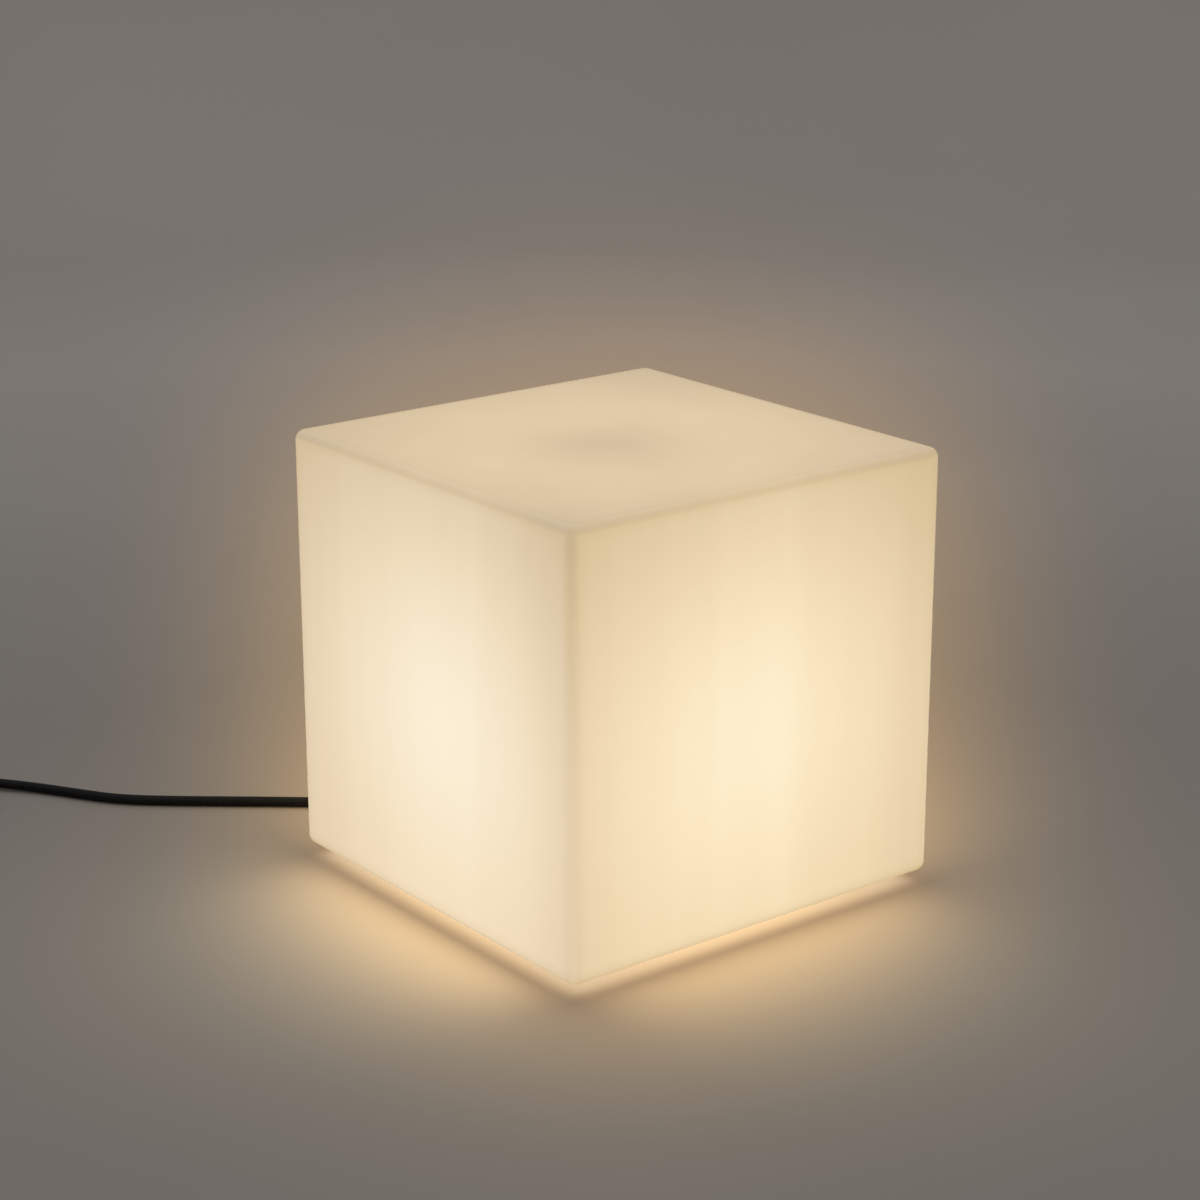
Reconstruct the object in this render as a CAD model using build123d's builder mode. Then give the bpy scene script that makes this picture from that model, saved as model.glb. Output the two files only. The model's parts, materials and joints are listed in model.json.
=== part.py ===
from build123d import *
import os
from math import atan2, cos, degrees, floor, pi, radians, sin, sqrt, tan

# Cube light: a moulded, lit cube on four feet. Its lamp stands on a round plate that closes the
# underside, and a bulb screws into the lampholder. Millimetres, +Z up. The origin is the middle of
# the cube's footprint, on the floor. The front is -Y, and the cord leaves at the back, towards +Y.

os.makedirs("parts", exist_ok=True)

# ---------------------------------------------------------------- driving dimensions

# cube
body_width = 300.0
body_height = 292.0
edge_radius = 7.0
wall = 3.5
recess_radius = 95.0
recess_depth = 34.0
opening_radius = 60.0
groove_width = 20.0
groove_height = 14.0

# clearances
fit_gap = 0.05
slip_gap = 0.3
cover_ring_gap = 0.5

# feet
foot_height = 8.0
foot_radius = 14.0
foot_draft = 1.0
foot_inset = 45.0
foot_edge_round = 1.2
spigot_radius = 10.0
spigot_depth = 2.0
foot_boss_radius = 14.0
foot_boss_height = 16.0

# M4 screws and inserts
screw_radius = 2.0
screw_hole_radius = 2.2
screw_head_radius = 4.0
screw_head_height = 2.6
screw_head_round_share = 0.4
screw_recess_share = 1.2
screw_tip_chamfer_share = 0.25
cross_recess = 1.0
cross_recess_depth = 1.4
insert_radius = 2.8
insert_length = 9.0
insert_hole_extra = 1.0
foot_screw_length = 13.0
foot_counterbore_depth = 4.0
foot_counterbore_radius = 4.8

# carrier plate
gasket_thickness = 2.0
gasket_inner_radius = 62.0
gasket_width = 18.5
flange_thickness = 4.0
flange_margin = 1.5
flange_rim_width = 2.5
flange_rim_height = 5.0
cover_ring_width = 3.0
cover_ring_height = 6.0
rib_count = 12
rib_inner_radius = 44.0
rib_outer_radius = 64.0
rib_thickness = 2.0
rib_height = 5.0
cover_screw_length = 12.0
cover_boss_radius = 7.0
cover_boss_height = 13.0
washer_radius = 4.5
washer_thickness = 1.0

# wiring well under the plate
well_width = 58.0
well_depth = 50.0
well_wall = 3.0
well_centre_y = -14.0
well_base_height = 10.0
well_corner_radius = 6.0

# cord and gland
cord_radius = 3.5
cord_arc_share = 0.45
gland_height = 24.0
gland_thread_radius = 8.0
gland_bore_gap = 0.6
gland_collar_flats = 20.0
gland_collar_length = 5.0
gland_washer_radius = 10.0
gland_washer_thickness = 1.5
gland_locknut_flats = 19.0
gland_locknut_length = 4.0
gland_tail_length = 2.0
gland_sleeve_radius = 7.2
gland_sleeve_length = 9.5
seal_radius = 5.6
seal_length = 8.0
gland_nut_flats = 19.0
gland_nut_start_gap = 0.5
gland_nut_end_wall = 2.0
relief_neck_radius = 5.0
relief_shoulder_radius = 6.5
relief_shoulder_length = 1.5
relief_root_radius = 6.4
relief_tip_radius = 4.5
relief_length = 23.0
relief_groove_count = 5
relief_groove_width = 1.4
relief_groove_depth = 0.8
cord_inlet_tail = 4.0

# cores, wires and terminal block
core_radius = 1.1
core_spacing = 3.4
core_bend_radius = 3.0
block_width = 24.0
block_length = 18.0
block_height = 14.0
block_corner_radius = 1.5
block_centre_y = -22.0
block_channel_spacing = 10.0
block_channel_height = 7.0
clamp_radius = 1.9
clamp_wall = 0.6
terminal_screw_radius = 1.5
terminal_screw_spacing = 9.0
terminal_screw_stand = 0.6
block_screw_radius = 1.4
block_screw_head_radius = 1.9
block_screw_head_height = 1.2
block_screw_grip = 2.0
wire_loop_reach = 5.0
wire_crossing_height = 32.0

# bracket and nipple
bracket_length = 84.0
bracket_width = 26.0
bracket_thickness = 2.0
bracket_corner_radius = 4.0
bracket_screw_spacing = 72.0
bracket_screw_length = 9.0
bracket_boss_radius = 5.0
bracket_boss_height = 8.0
nipple_radius = 5.0
nipple_bore_radius = 3.6
nipple_below = 5.0
nipple_above = 6.0
nipple_nut_flats = 14.0
nipple_nut_height = 3.5

# lampholder
holder_cap_height = 14.0
holder_neck_radius = 9.0
holder_neck_height = 4.0
holder_neck_solid = 6.5
holder_cap_rim_height = 2.0
holder_cap_curve_rise = 3.0
holder_cap_curve_start = (1.0, 0.2)
holder_cap_floor_rise = 2.0
holder_radius = 21.0
holder_top_radius = 20.0
holder_wall = 2.5
holder_insert_height = 8.0
holder_insert_round = 1.0
leaf_pocket_margin = 1.5
leaf_pocket_depth = 1.0
skirt_height = 38.0
skirt_lip_height = 2.5
skirt_lip_radius = 14.4
skirt_bore_radius = 16.0
skirt_seat_height = 9.0
skirt_top_chamfer = 1.0
threaded_shell_height = 28.0
threaded_shell_wall = 0.4
threaded_shell_step = 2.0
contact_leaf_width = 5.0
contact_leaf_length = 13.0
contact_leaf_thickness = 0.5
contact_leaf_rise = 2.0
contact_post_radius = 1.5
holder_terminal_spacing = 16.0
holder_terminal_size = 4.0
wire_end_bend = 2.0

# 27 mm round thread: its crests are rolled, so each ridge has a round section
thread_pitch = 3.629
cap_radius = 12.15
cap_wall = 0.45
cap_ridge_centre = 12.05
cap_ridge_radius = 1.0
cap_thread_turns = 3.6
cap_thread_start = 2.2
holder_bore_radius = 13.3
holder_ridge_centre = 13.35
holder_ridge_radius = 0.95
holder_thread_margin = 0.6

# bulb
bulb_contact_radius = 4.6
bulb_contact_height = 2.6
bulb_contact_round = 1.5
bulb_stem_radius = 1.8
bulb_stem_length = 5.0
bulb_cap_height = 27.0
insulator_height = 7.0
insulator_tip_radius = 5.4
insulator_shoulder_gap = 0.5
insulator_shoulder_drop = 0.4
insulator_seat_height = 1.0
insulator_plug_height = 3.0
housing_collar_radius = 13.4
housing_collar_height = 2.0
housing_flare_height = 11.0
housing_radius = 20.0
housing_height = 24.5
housing_wall = 1.6
housing_plug_length = 5.0
housing_flare_start = (0.6, 0.8)
housing_top_round = 0.8
column_flats = 30.0
column_wall = 1.5
column_height = 58.0
column_side_count = 8
led_board_width = 10.0
led_board_length = 54.0
led_board_thickness = 1.0
chip_rows = 7
chip_length = 5.6
chip_width = 3.0
chip_height = 0.8
end_plate_radius = 17.5
end_plate_thickness = 3.0
end_plate_round = 1.0
end_screw_radius = 1.5
end_screw_head_radius = 2.8
end_screw_head_height = 1.2
end_screw_length = 7.0
end_screw_recess = 0.7
end_screw_recess_depth = 0.7
driver_board_width = 26.0
driver_board_height = 15.0
driver_board_thickness = 1.2
capacitor_radius = 4.0
capacitor_length = 10.0
capacitor_x = -7.0
choke_size = 8.0
choke_height = 9.0
choke_corner_radius = 1.0
choke_x = 6.0
chip_block_width = 5.0
chip_block_thickness = 1.6
chip_block_x = 2.0

# coil of the cord that the picture does not show, with its tie
coil_centre = (-326.4, 392.1)
coil_inner_radius = 28.4
coil_pitch = 7.5
coil_layer = 7.6
coil_climb_turns = 0.5
coil_start_heading = 130.0
coil_end_heading = 270.0
coil_full_turns = 5
coil_lead = 7.0
coil_tail_lead = 18.0
coil_last_run = 34.0
tie_thickness = 0.8
tie_width = 8.0
tie_gap = 0.3
tie_side_gap = 0.7
tie_angle = 300.0
tie_corner_radius = 3.0

# plug
plug_boot_length = 22.0
plug_boot_root_radius = 7.0
plug_boot_tip_radius = 4.4
plug_boot_groove_count = 5
plug_boot_first_groove = 0.7
plug_body_length = 34.0
plug_body_width = 36.0
plug_neck_length = 12.0
plug_neck_width = 20.0
plug_neck_height = 16.0
plug_edge_round = 2.0
pin_radius = 2.4
pin_length = 19.0
pin_spacing = 19.0
pin_seat = 6.0
pin_tip_round = 1.6
pin_root_radius = 2.0

# ---------------------------------------------------------------- places worked out from them

# heights, from the floor up
recess_roof = foot_height + recess_depth
flange_top = recess_roof - gasket_thickness
flange_base = flange_top - flange_thickness
well_floor = well_base_height + well_wall
bracket_top = flange_top + bracket_thickness
holder_insert_base = bracket_top + holder_cap_height
holder_insert_top = holder_insert_base + holder_insert_height
holder_top = holder_insert_base + skirt_height
contact_leaf_top = holder_insert_top + contact_leaf_rise
bulb_tip = contact_leaf_top + slip_gap
cap_top = bulb_tip + bulb_cap_height
cap_base = bulb_tip + insulator_height
housing_base = cap_top
housing_top = housing_base + housing_height
column_top = housing_top + column_height
groove_crown = foot_height + groove_height

# places in plan
foot_offset = body_width / 2 - foot_inset
foot_sides = {
    "foot_front_left": (-1, -1),
    "foot_front_right": (1, -1),
    "foot_rear_left": (-1, 1),
    "foot_rear_right": (1, 1),
}
foot_places = [(sx * foot_offset, sy * foot_offset) for sx, sy in foot_sides.values()]
gasket_outer_radius = gasket_inner_radius + gasket_width
flange_radius = gasket_outer_radius + flange_margin
cover_screw_circle = gasket_inner_radius + gasket_width / 2
cover_screw_side = cover_screw_circle * sin(radians(45))
cover_screw_places = [(sx * cover_screw_side, sy * cover_screw_side) for sx, sy in foot_sides.values()]
bracket_screw_places = [(-bracket_screw_spacing / 2, 0), (bracket_screw_spacing / 2, 0)]
well_rear_inside = well_centre_y + well_depth / 2
well_rear_outside = well_rear_inside + well_wall
block_rear = block_centre_y + block_length / 2
block_front = block_centre_y - block_length / 2
block_top = well_floor + block_height
channel_height = well_floor + block_channel_height
channel_x = block_channel_spacing / 2

# places along the gland, towards the back
gland_tail_start = well_rear_inside - gland_locknut_length - gland_tail_length
gland_collar_start = well_rear_outside + gland_washer_thickness
gland_sleeve_start = gland_collar_start + gland_collar_length
gland_sleeve_end = gland_sleeve_start + gland_sleeve_length
gland_nut_start = gland_sleeve_start + gland_nut_start_gap
gland_nut_end = gland_sleeve_end + relief_shoulder_length + fit_gap + gland_nut_end_wall
relief_end = gland_nut_end + relief_length
cord_inlet_start = gland_tail_start - cord_inlet_tail
gland_bore_radius = cord_radius + gland_bore_gap


def gland_plane(y):
    """Plane across the gland's axis at a distance along it, with its normal towards the back."""
    return Plane(origin=(0, y, gland_height), x_dir=(1, 0, 0), z_dir=(0, 1, 0))


gland_side = Plane(origin=(0, 0, gland_height), x_dir=(0, 1, 0), z_dir=(1, 0, 0))
gland_axis = Axis((0, 0, gland_height), (0, 1, 0))


def make_screw(shank_radius, length, head_radius, head_height, recess, recess_depth_in_head):
    """Pan-head screw that stands on its head: shank along +Z, a cross recess in the head below."""
    with BuildPart() as screw:
        with BuildSketch(Plane.XY.offset(-head_height)):
            Circle(head_radius)
        extrude(amount=head_height)
        fillet(screw.edges().group_by(Axis.Z)[0], radius=head_height * screw_head_round_share)
        with BuildSketch():
            Circle(shank_radius)
        extrude(amount=length)
        chamfer(screw.edges().group_by(Axis.Z)[-1], length=shank_radius * screw_tip_chamfer_share)
        with BuildSketch(Plane.XY.offset(-head_height)):
            Rectangle(head_radius * screw_recess_share, recess)
            Rectangle(recess, head_radius * screw_recess_share)
        extrude(amount=recess_depth_in_head, mode=Mode.SUBTRACT)
    return screw.part


def make_lead(points, radii, section_radius):
    """Round lead along straight runs joined by tangent arcs, with one radius for each corner."""
    with BuildPart() as lead:
        with BuildLine() as route:
            FilletPolyline(*points, radius=radii)
        with BuildSketch(Plane(origin=route.line @ 0, z_dir=route.line % 0)):
            Circle(section_radius)
        sweep()
    return lead.part


def arch(half_width, crown):
    """Outline of an arch that stands on the underside: straight sides and a round crown."""
    with Locations((0, crown - half_width)):
        Circle(half_width)
    with Locations((0, foot_height)):
        Rectangle(2 * half_width, crown - half_width - foot_height, align=(Align.CENTER, Align.MIN))


# ---------------------------------------------------------------- diffuser

# The cube is rotation-moulded, so one wall follows every outside face, the recess and the groove.
with BuildPart(Plane.XY.offset(foot_height)) as outer_form:
    Box(body_width, body_width, body_height, align=(Align.CENTER, Align.CENTER, Align.MIN))
    fillet(outer_form.edges(), radius=edge_radius)

with BuildPart(Plane.XY.offset(foot_height + wall)) as cavity:
    cavity_width = body_width - 2 * wall
    Box(cavity_width, cavity_width, body_height - 2 * wall, align=(Align.CENTER, Align.CENTER, Align.MIN))
    fillet(cavity.edges(), radius=edge_radius - wall)
    with BuildSketch(Plane.XY.offset(foot_height)):
        Circle(recess_radius + wall)
    extrude(amount=recess_depth + wall, mode=Mode.SUBTRACT)
    with BuildSketch(Plane.XZ.offset(-body_width / 2)):
        arch(groove_width / 2 + wall, groove_crown + wall)
    extrude(amount=body_width / 2 - recess_radius, mode=Mode.SUBTRACT)
    with BuildSketch(Plane.XY.offset(foot_height)):
        with Locations(*foot_places):
            Circle(foot_boss_radius)
    extrude(amount=foot_boss_height, mode=Mode.SUBTRACT)
    with BuildSketch(Plane.XY.offset(recess_roof)):
        with Locations(*cover_screw_places):
            Circle(cover_boss_radius)
    extrude(amount=cover_boss_height, mode=Mode.SUBTRACT)

with BuildPart() as diffuser_shell:
    add(outer_form.part)
    add(cavity.part, mode=Mode.SUBTRACT)
    with BuildSketch(Plane.XY.offset(foot_height)):
        Circle(recess_radius)
    extrude(amount=recess_depth, mode=Mode.SUBTRACT)
    with BuildSketch(Plane.XY.offset(recess_roof)):
        Circle(opening_radius)
    extrude(amount=wall, mode=Mode.SUBTRACT)
    with BuildSketch(Plane.XZ.offset(-body_width / 2)):
        arch(groove_width / 2, groove_crown)
    extrude(amount=body_width / 2 - recess_radius + wall, mode=Mode.SUBTRACT)
    with BuildSketch(Plane.XY.offset(foot_height)):
        with Locations(*foot_places):
            Circle(spigot_radius + fit_gap)
    extrude(amount=spigot_depth, mode=Mode.SUBTRACT)
    with BuildSketch(Plane.XY.offset(foot_height + spigot_depth)):
        with Locations(*foot_places):
            Circle(insert_radius + fit_gap)
    extrude(amount=insert_length + insert_hole_extra, mode=Mode.SUBTRACT)
    with BuildSketch(Plane.XY.offset(recess_roof)):
        with Locations(*cover_screw_places):
            Circle(insert_radius + fit_gap)
    extrude(amount=insert_length + insert_hole_extra, mode=Mode.SUBTRACT)
diffuser_shell.part.label = "diffuser_shell"
export_step(diffuser_shell.part, "parts/diffuser_shell.step")

with BuildPart() as cover_inserts:
    with BuildSketch(Plane.XY.offset(recess_roof)):
        with Locations(*cover_screw_places):
            Circle(insert_radius)
            Circle(screw_radius + fit_gap, mode=Mode.SUBTRACT)
    extrude(amount=insert_length)
cover_inserts.part.label = "cover_inserts"
export_step(cover_inserts.part, "parts/cover_inserts.step")

with BuildPart() as foot_inserts:
    with BuildSketch(Plane.XY.offset(foot_height + spigot_depth)):
        with Locations(*foot_places):
            Circle(insert_radius)
            Circle(screw_radius + fit_gap, mode=Mode.SUBTRACT)
    extrude(amount=insert_length)
foot_inserts.part.label = "foot_inserts"
export_step(foot_inserts.part, "parts/foot_inserts.step")

# A foot is a rubber buffer with a spigot in its pocket and a counterbore for its screw.
for foot_name, (side_x, side_y) in foot_sides.items():
    foot_x = side_x * foot_offset
    foot_y = side_y * foot_offset
    with BuildPart() as foot:
        with BuildSketch(Plane((foot_x, foot_y, 0))):
            Circle(foot_radius - foot_draft)
        with BuildSketch(Plane((foot_x, foot_y, foot_height))):
            Circle(foot_radius)
        loft()
        fillet(foot.edges().group_by(Axis.Z)[0], radius=foot_edge_round)
        with BuildSketch(Plane((foot_x, foot_y, foot_height))):
            Circle(spigot_radius)
        extrude(amount=spigot_depth)
        with BuildSketch(Plane((foot_x, foot_y, 0))):
            Circle(foot_counterbore_radius)
        extrude(amount=foot_counterbore_depth, mode=Mode.SUBTRACT)
        with BuildSketch(Plane((foot_x, foot_y, 0))):
            Circle(screw_hole_radius)
        extrude(amount=foot_height + spigot_depth, mode=Mode.SUBTRACT)
    foot.part.label = foot_name
    export_step(foot.part, f"parts/{foot_name}.step")

foot_screw = make_screw(
    screw_radius, foot_screw_length, screw_head_radius, screw_head_height, cross_recess, cross_recess_depth
)
with BuildPart(Plane.XY.offset(foot_counterbore_depth)) as foot_screws:
    with Locations(*foot_places):
        add(foot_screw)
foot_screws.part.label = "foot_screws"
export_step(foot_screws.part, "parts/foot_screws.step")

# ---------------------------------------------------------------- carrier plate

with BuildPart() as carrier_plate:
    with BuildSketch(Plane.XY.offset(flange_base)):
        Circle(flange_radius)
    extrude(amount=flange_thickness)
    # locating ring that enters the cube's opening
    with BuildSketch(Plane.XY.offset(flange_top)):
        Circle(opening_radius - cover_ring_gap)
        Circle(opening_radius - cover_ring_gap - cover_ring_width, mode=Mode.SUBTRACT)
    extrude(amount=cover_ring_height)
    # turned-down rim and radial ribs, with none where the cord passes
    with BuildSketch(Plane.XY.offset(flange_base)):
        Circle(flange_radius)
        Circle(flange_radius - flange_rim_width, mode=Mode.SUBTRACT)
    extrude(amount=-flange_rim_height)
    with BuildSketch(Plane.XY.offset(flange_base)):
        rib_step = 360 / rib_count
        with PolarLocations((rib_inner_radius + rib_outer_radius) / 2, rib_count - 1, 90 + rib_step,
                            360 - 2 * rib_step, endpoint=True):
            Rectangle(rib_outer_radius - rib_inner_radius, rib_thickness)
    extrude(amount=-rib_height)
    # wiring well and the bosses for the bracket's screws
    with BuildSketch(Plane((0, well_centre_y, well_base_height))):
        RectangleRounded(well_width + 2 * well_wall, well_depth + 2 * well_wall, well_corner_radius)
    extrude(amount=flange_base - well_base_height)
    with BuildSketch(Plane.XY.offset(flange_base)):
        with Locations(*bracket_screw_places):
            Circle(bracket_boss_radius)
    extrude(amount=-bracket_boss_height)
    with BuildSketch(Plane((0, well_centre_y, well_floor))):
        RectangleRounded(well_width, well_depth, well_corner_radius - well_wall)
    extrude(amount=flange_top - well_floor, mode=Mode.SUBTRACT)
    # holes for the plate screws, the bracket's screws, the block's screw and the gland
    with BuildSketch(Plane.XY.offset(flange_base)):
        with Locations(*cover_screw_places):
            Circle(screw_hole_radius)
    extrude(amount=flange_thickness, mode=Mode.SUBTRACT)
    with BuildSketch(Plane.XY.offset(flange_top)):
        with Locations(*bracket_screw_places):
            Circle(screw_radius + fit_gap)
    extrude(amount=-bracket_screw_length, mode=Mode.SUBTRACT)
    with BuildSketch(Plane((0, block_centre_y, well_floor))):
        Circle(block_screw_radius + fit_gap)
    extrude(amount=-block_screw_grip, mode=Mode.SUBTRACT)
    with BuildSketch(gland_plane(well_rear_inside)):
        Circle(gland_thread_radius + fit_gap)
    extrude(amount=well_wall, mode=Mode.SUBTRACT)
carrier_plate.part.label = "carrier_plate"
export_step(carrier_plate.part, "parts/carrier_plate.step")

with BuildPart() as plate_gasket:
    with BuildSketch(Plane.XY.offset(flange_top)):
        Circle(gasket_outer_radius)
        Circle(gasket_inner_radius, mode=Mode.SUBTRACT)
        with Locations(*cover_screw_places):
            Circle(screw_hole_radius, mode=Mode.SUBTRACT)
    extrude(amount=gasket_thickness)
plate_gasket.part.label = "plate_gasket"
export_step(plate_gasket.part, "parts/plate_gasket.step")

with BuildPart() as cover_washers:
    with BuildSketch(Plane.XY.offset(flange_base)):
        with Locations(*cover_screw_places):
            Circle(washer_radius)
            Circle(screw_radius + fit_gap, mode=Mode.SUBTRACT)
    extrude(amount=-washer_thickness)
cover_washers.part.label = "cover_washers"
export_step(cover_washers.part, "parts/cover_washers.step")

cover_screw = make_screw(
    screw_radius, cover_screw_length, screw_head_radius, screw_head_height, cross_recess, cross_recess_depth
)
with BuildPart(Plane.XY.offset(flange_base - washer_thickness)) as cover_screws:
    with Locations(*cover_screw_places):
        add(cover_screw)
cover_screws.part.label = "cover_screws"
export_step(cover_screws.part, "parts/cover_screws.step")

# ---------------------------------------------------------------- cable gland

with BuildPart() as gland_body:
    with BuildSketch(gland_plane(gland_tail_start)):
        Circle(gland_thread_radius)
    extrude(amount=gland_collar_start - gland_tail_start)
    with BuildSketch(gland_plane(gland_collar_start)):
        RegularPolygon(gland_collar_flats / 2, side_count=6, major_radius=False)
    extrude(amount=gland_collar_length)
    with BuildSketch(gland_plane(gland_sleeve_start)):
        Circle(gland_sleeve_radius)
    extrude(amount=gland_sleeve_length)
    with BuildSketch(gland_plane(gland_tail_start)):
        Circle(gland_bore_radius)
    extrude(amount=gland_sleeve_end - gland_tail_start, mode=Mode.SUBTRACT)
    with BuildSketch(gland_plane(gland_sleeve_end)):
        Circle(seal_radius + fit_gap)
    extrude(amount=-seal_length, mode=Mode.SUBTRACT)
gland_body.part.label = "gland_body"
export_step(gland_body.part, "parts/gland_body.step")

with BuildPart() as gland_washer:
    with BuildSketch(gland_plane(well_rear_outside)):
        Circle(gland_washer_radius)
        Circle(gland_thread_radius + fit_gap, mode=Mode.SUBTRACT)
    extrude(amount=gland_washer_thickness)
gland_washer.part.label = "gland_washer"
export_step(gland_washer.part, "parts/gland_washer.step")

with BuildPart() as gland_locknut:
    with BuildSketch(gland_plane(well_rear_inside)):
        RegularPolygon(gland_locknut_flats / 2, side_count=6, major_radius=False)
        Circle(gland_thread_radius + fit_gap, mode=Mode.SUBTRACT)
    extrude(amount=-gland_locknut_length)
gland_locknut.part.label = "gland_locknut"
export_step(gland_locknut.part, "parts/gland_locknut.step")

with BuildPart() as gland_seal:
    with BuildSketch(gland_plane(gland_sleeve_end)):
        Circle(seal_radius)
        Circle(cord_radius + fit_gap, mode=Mode.SUBTRACT)
    extrude(amount=-seal_length)
gland_seal.part.label = "gland_seal"
export_step(gland_seal.part, "parts/gland_seal.step")

# The cap nut holds the shoulder of the bend relief against the gland's sleeve.
with BuildPart() as gland_nut:
    with BuildSketch(gland_plane(gland_nut_start)):
        RegularPolygon(gland_nut_flats / 2, side_count=6, major_radius=False)
    extrude(amount=gland_nut_end - gland_nut_start)
    chamfer(gland_nut.edges().group_by(Axis.Y)[-1], length=gland_nut_end_wall / 2)
    with BuildSketch(gland_plane(gland_nut_start)):
        Circle(gland_sleeve_radius + fit_gap)
    extrude(amount=gland_nut_end - gland_nut_end_wall - gland_nut_start, mode=Mode.SUBTRACT)
    with BuildSketch(gland_plane(gland_nut_end)):
        Circle(relief_neck_radius + fit_gap)
    extrude(amount=-gland_nut_end_wall, mode=Mode.SUBTRACT)
gland_nut.part.label = "gland_nut"
export_step(gland_nut.part, "parts/gland_nut.step")

with BuildPart() as bend_relief:
    relief_start = gland_sleeve_end
    relief_bore = cord_radius + fit_gap
    with BuildSketch(gland_side):
        with BuildLine():
            Polyline(
                (relief_start, relief_bore),
                (relief_start, relief_shoulder_radius),
                (relief_start + relief_shoulder_length, relief_shoulder_radius),
                (relief_start + relief_shoulder_length, relief_neck_radius),
                (gland_nut_end, relief_neck_radius),
                (gland_nut_end, relief_root_radius),
                (relief_end, relief_tip_radius),
                (relief_end, relief_bore),
                close=True,
            )
        make_face()
        groove_step = relief_length / (relief_groove_count + 1)
        relief_slope = (relief_root_radius - relief_tip_radius) / relief_length
        for groove in range(relief_groove_count):
            groove_y = groove_step * (groove + 1)
            groove_floor = relief_root_radius - relief_slope * groove_y - relief_groove_depth
            with Locations((gland_nut_end + groove_y, groove_floor)):
                Rectangle(
                    relief_groove_width,
                    2 * relief_groove_depth,
                    align=(Align.CENTER, Align.MIN),
                    mode=Mode.SUBTRACT,
                )
    revolve(axis=gland_axis)
bend_relief.part.label = "bend_relief"
export_step(bend_relief.part, "parts/bend_relief.step")

with BuildPart() as cord_inlet:
    with BuildSketch(gland_plane(cord_inlet_start)):
        Circle(cord_radius)
    extrude(amount=relief_end - cord_inlet_start)
cord_inlet.part.label = "cord_inlet"
export_step(cord_inlet.part, "parts/cord_inlet.step")

# ---------------------------------------------------------------- terminal block and wiring

with BuildPart() as terminal_block:
    with BuildSketch(Plane((0, block_centre_y, well_floor))):
        RectangleRounded(block_width, block_length, block_corner_radius)
    extrude(amount=block_height)
    with BuildSketch(Plane.XZ.offset(-block_rear)):
        with Locations((-channel_x, channel_height), (channel_x, channel_height)):
            Circle(clamp_radius + fit_gap)
    extrude(amount=block_length, mode=Mode.SUBTRACT)
    with BuildSketch(Plane((0, block_centre_y, block_top))):
        with GridLocations(block_channel_spacing, terminal_screw_spacing, 2, 2):
            Circle(terminal_screw_radius + fit_gap)
    extrude(amount=channel_height - block_top, mode=Mode.SUBTRACT)
    with BuildSketch(Plane((0, block_centre_y, block_top))):
        Circle(block_screw_radius + fit_gap)
    extrude(amount=-block_height, mode=Mode.SUBTRACT)
    with BuildSketch(Plane((0, block_centre_y, block_top))):
        Circle(block_screw_head_radius + fit_gap)
    extrude(amount=-block_screw_head_height, mode=Mode.SUBTRACT)
terminal_block.part.label = "terminal_block"
export_step(terminal_block.part, "parts/terminal_block.step")

with BuildPart() as terminal_clamps:
    with BuildSketch(Plane.XZ.offset(-block_rear)):
        with Locations((-channel_x, channel_height), (channel_x, channel_height)):
            Circle(clamp_radius)
            Circle(clamp_radius - clamp_wall, mode=Mode.SUBTRACT)
    extrude(amount=block_length)
terminal_clamps.part.label = "terminal_clamps"
export_step(terminal_clamps.part, "parts/terminal_clamps.step")

with BuildPart() as terminal_screws:
    with BuildSketch(Plane((0, block_centre_y, channel_height + clamp_radius + fit_gap))):
        with GridLocations(block_channel_spacing, terminal_screw_spacing, 2, 2):
            Circle(terminal_screw_radius)
    extrude(amount=block_height - block_channel_height - clamp_radius + terminal_screw_stand)
    chamfer(terminal_screws.edges().group_by(Axis.Z)[-1], length=terminal_screw_stand / 2)
terminal_screws.part.label = "terminal_screws"
export_step(terminal_screws.part, "parts/terminal_screws.step")

with BuildPart() as block_screw:
    with BuildSketch(Plane((0, block_centre_y, well_floor - block_screw_grip))):
        Circle(block_screw_radius)
    extrude(amount=block_screw_grip + block_height - block_screw_head_height)
    with BuildSketch(Plane((0, block_centre_y, block_top - block_screw_head_height))):
        Circle(block_screw_head_radius)
    extrude(amount=block_screw_head_height)
block_screw.part.label = "block_screw"
export_step(block_screw.part, "parts/block_screw.step")

# Each core of the cord runs from the end of the sheath to its clamp, and a wire goes on from the
# clamp's other end, back over the block and up through the nipple to the lampholder.
core_x = core_spacing / 2
wire_front = block_front - wire_loop_reach
terminal_x = (holder_terminal_spacing - holder_terminal_size) / 2
terminal_mid = holder_insert_base - holder_terminal_size / 2
for pole, side in (("live", -1), ("neutral", 1)):
    core_route = [
        (side * core_x, cord_inlet_start, gland_height),
        (side * core_x, cord_inlet_start - core_bend_radius, gland_height),
        (side * channel_x, block_rear + core_bend_radius, channel_height),
        (side * channel_x, block_rear, channel_height),
    ]
    core = make_lead(core_route, core_bend_radius, core_radius)
    core.label = f"core_{pole}"
    export_step(core, f"parts/core_{pole}.step")
    wire_route = [
        (side * channel_x, block_front, channel_height),
        (side * channel_x, wire_front, channel_height),
        (side * channel_x, wire_front, wire_crossing_height),
        (side * core_x, 0, wire_crossing_height),
        (side * core_x, 0, terminal_mid),
        (side * terminal_x, 0, terminal_mid),
    ]
    wire = make_lead(wire_route, [core_bend_radius] * 3 + [wire_end_bend], core_radius)
    wire.label = f"holder_wire_{pole}"
    export_step(wire, f"parts/holder_wire_{pole}.step")

# ---------------------------------------------------------------- bracket and lampholder

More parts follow.
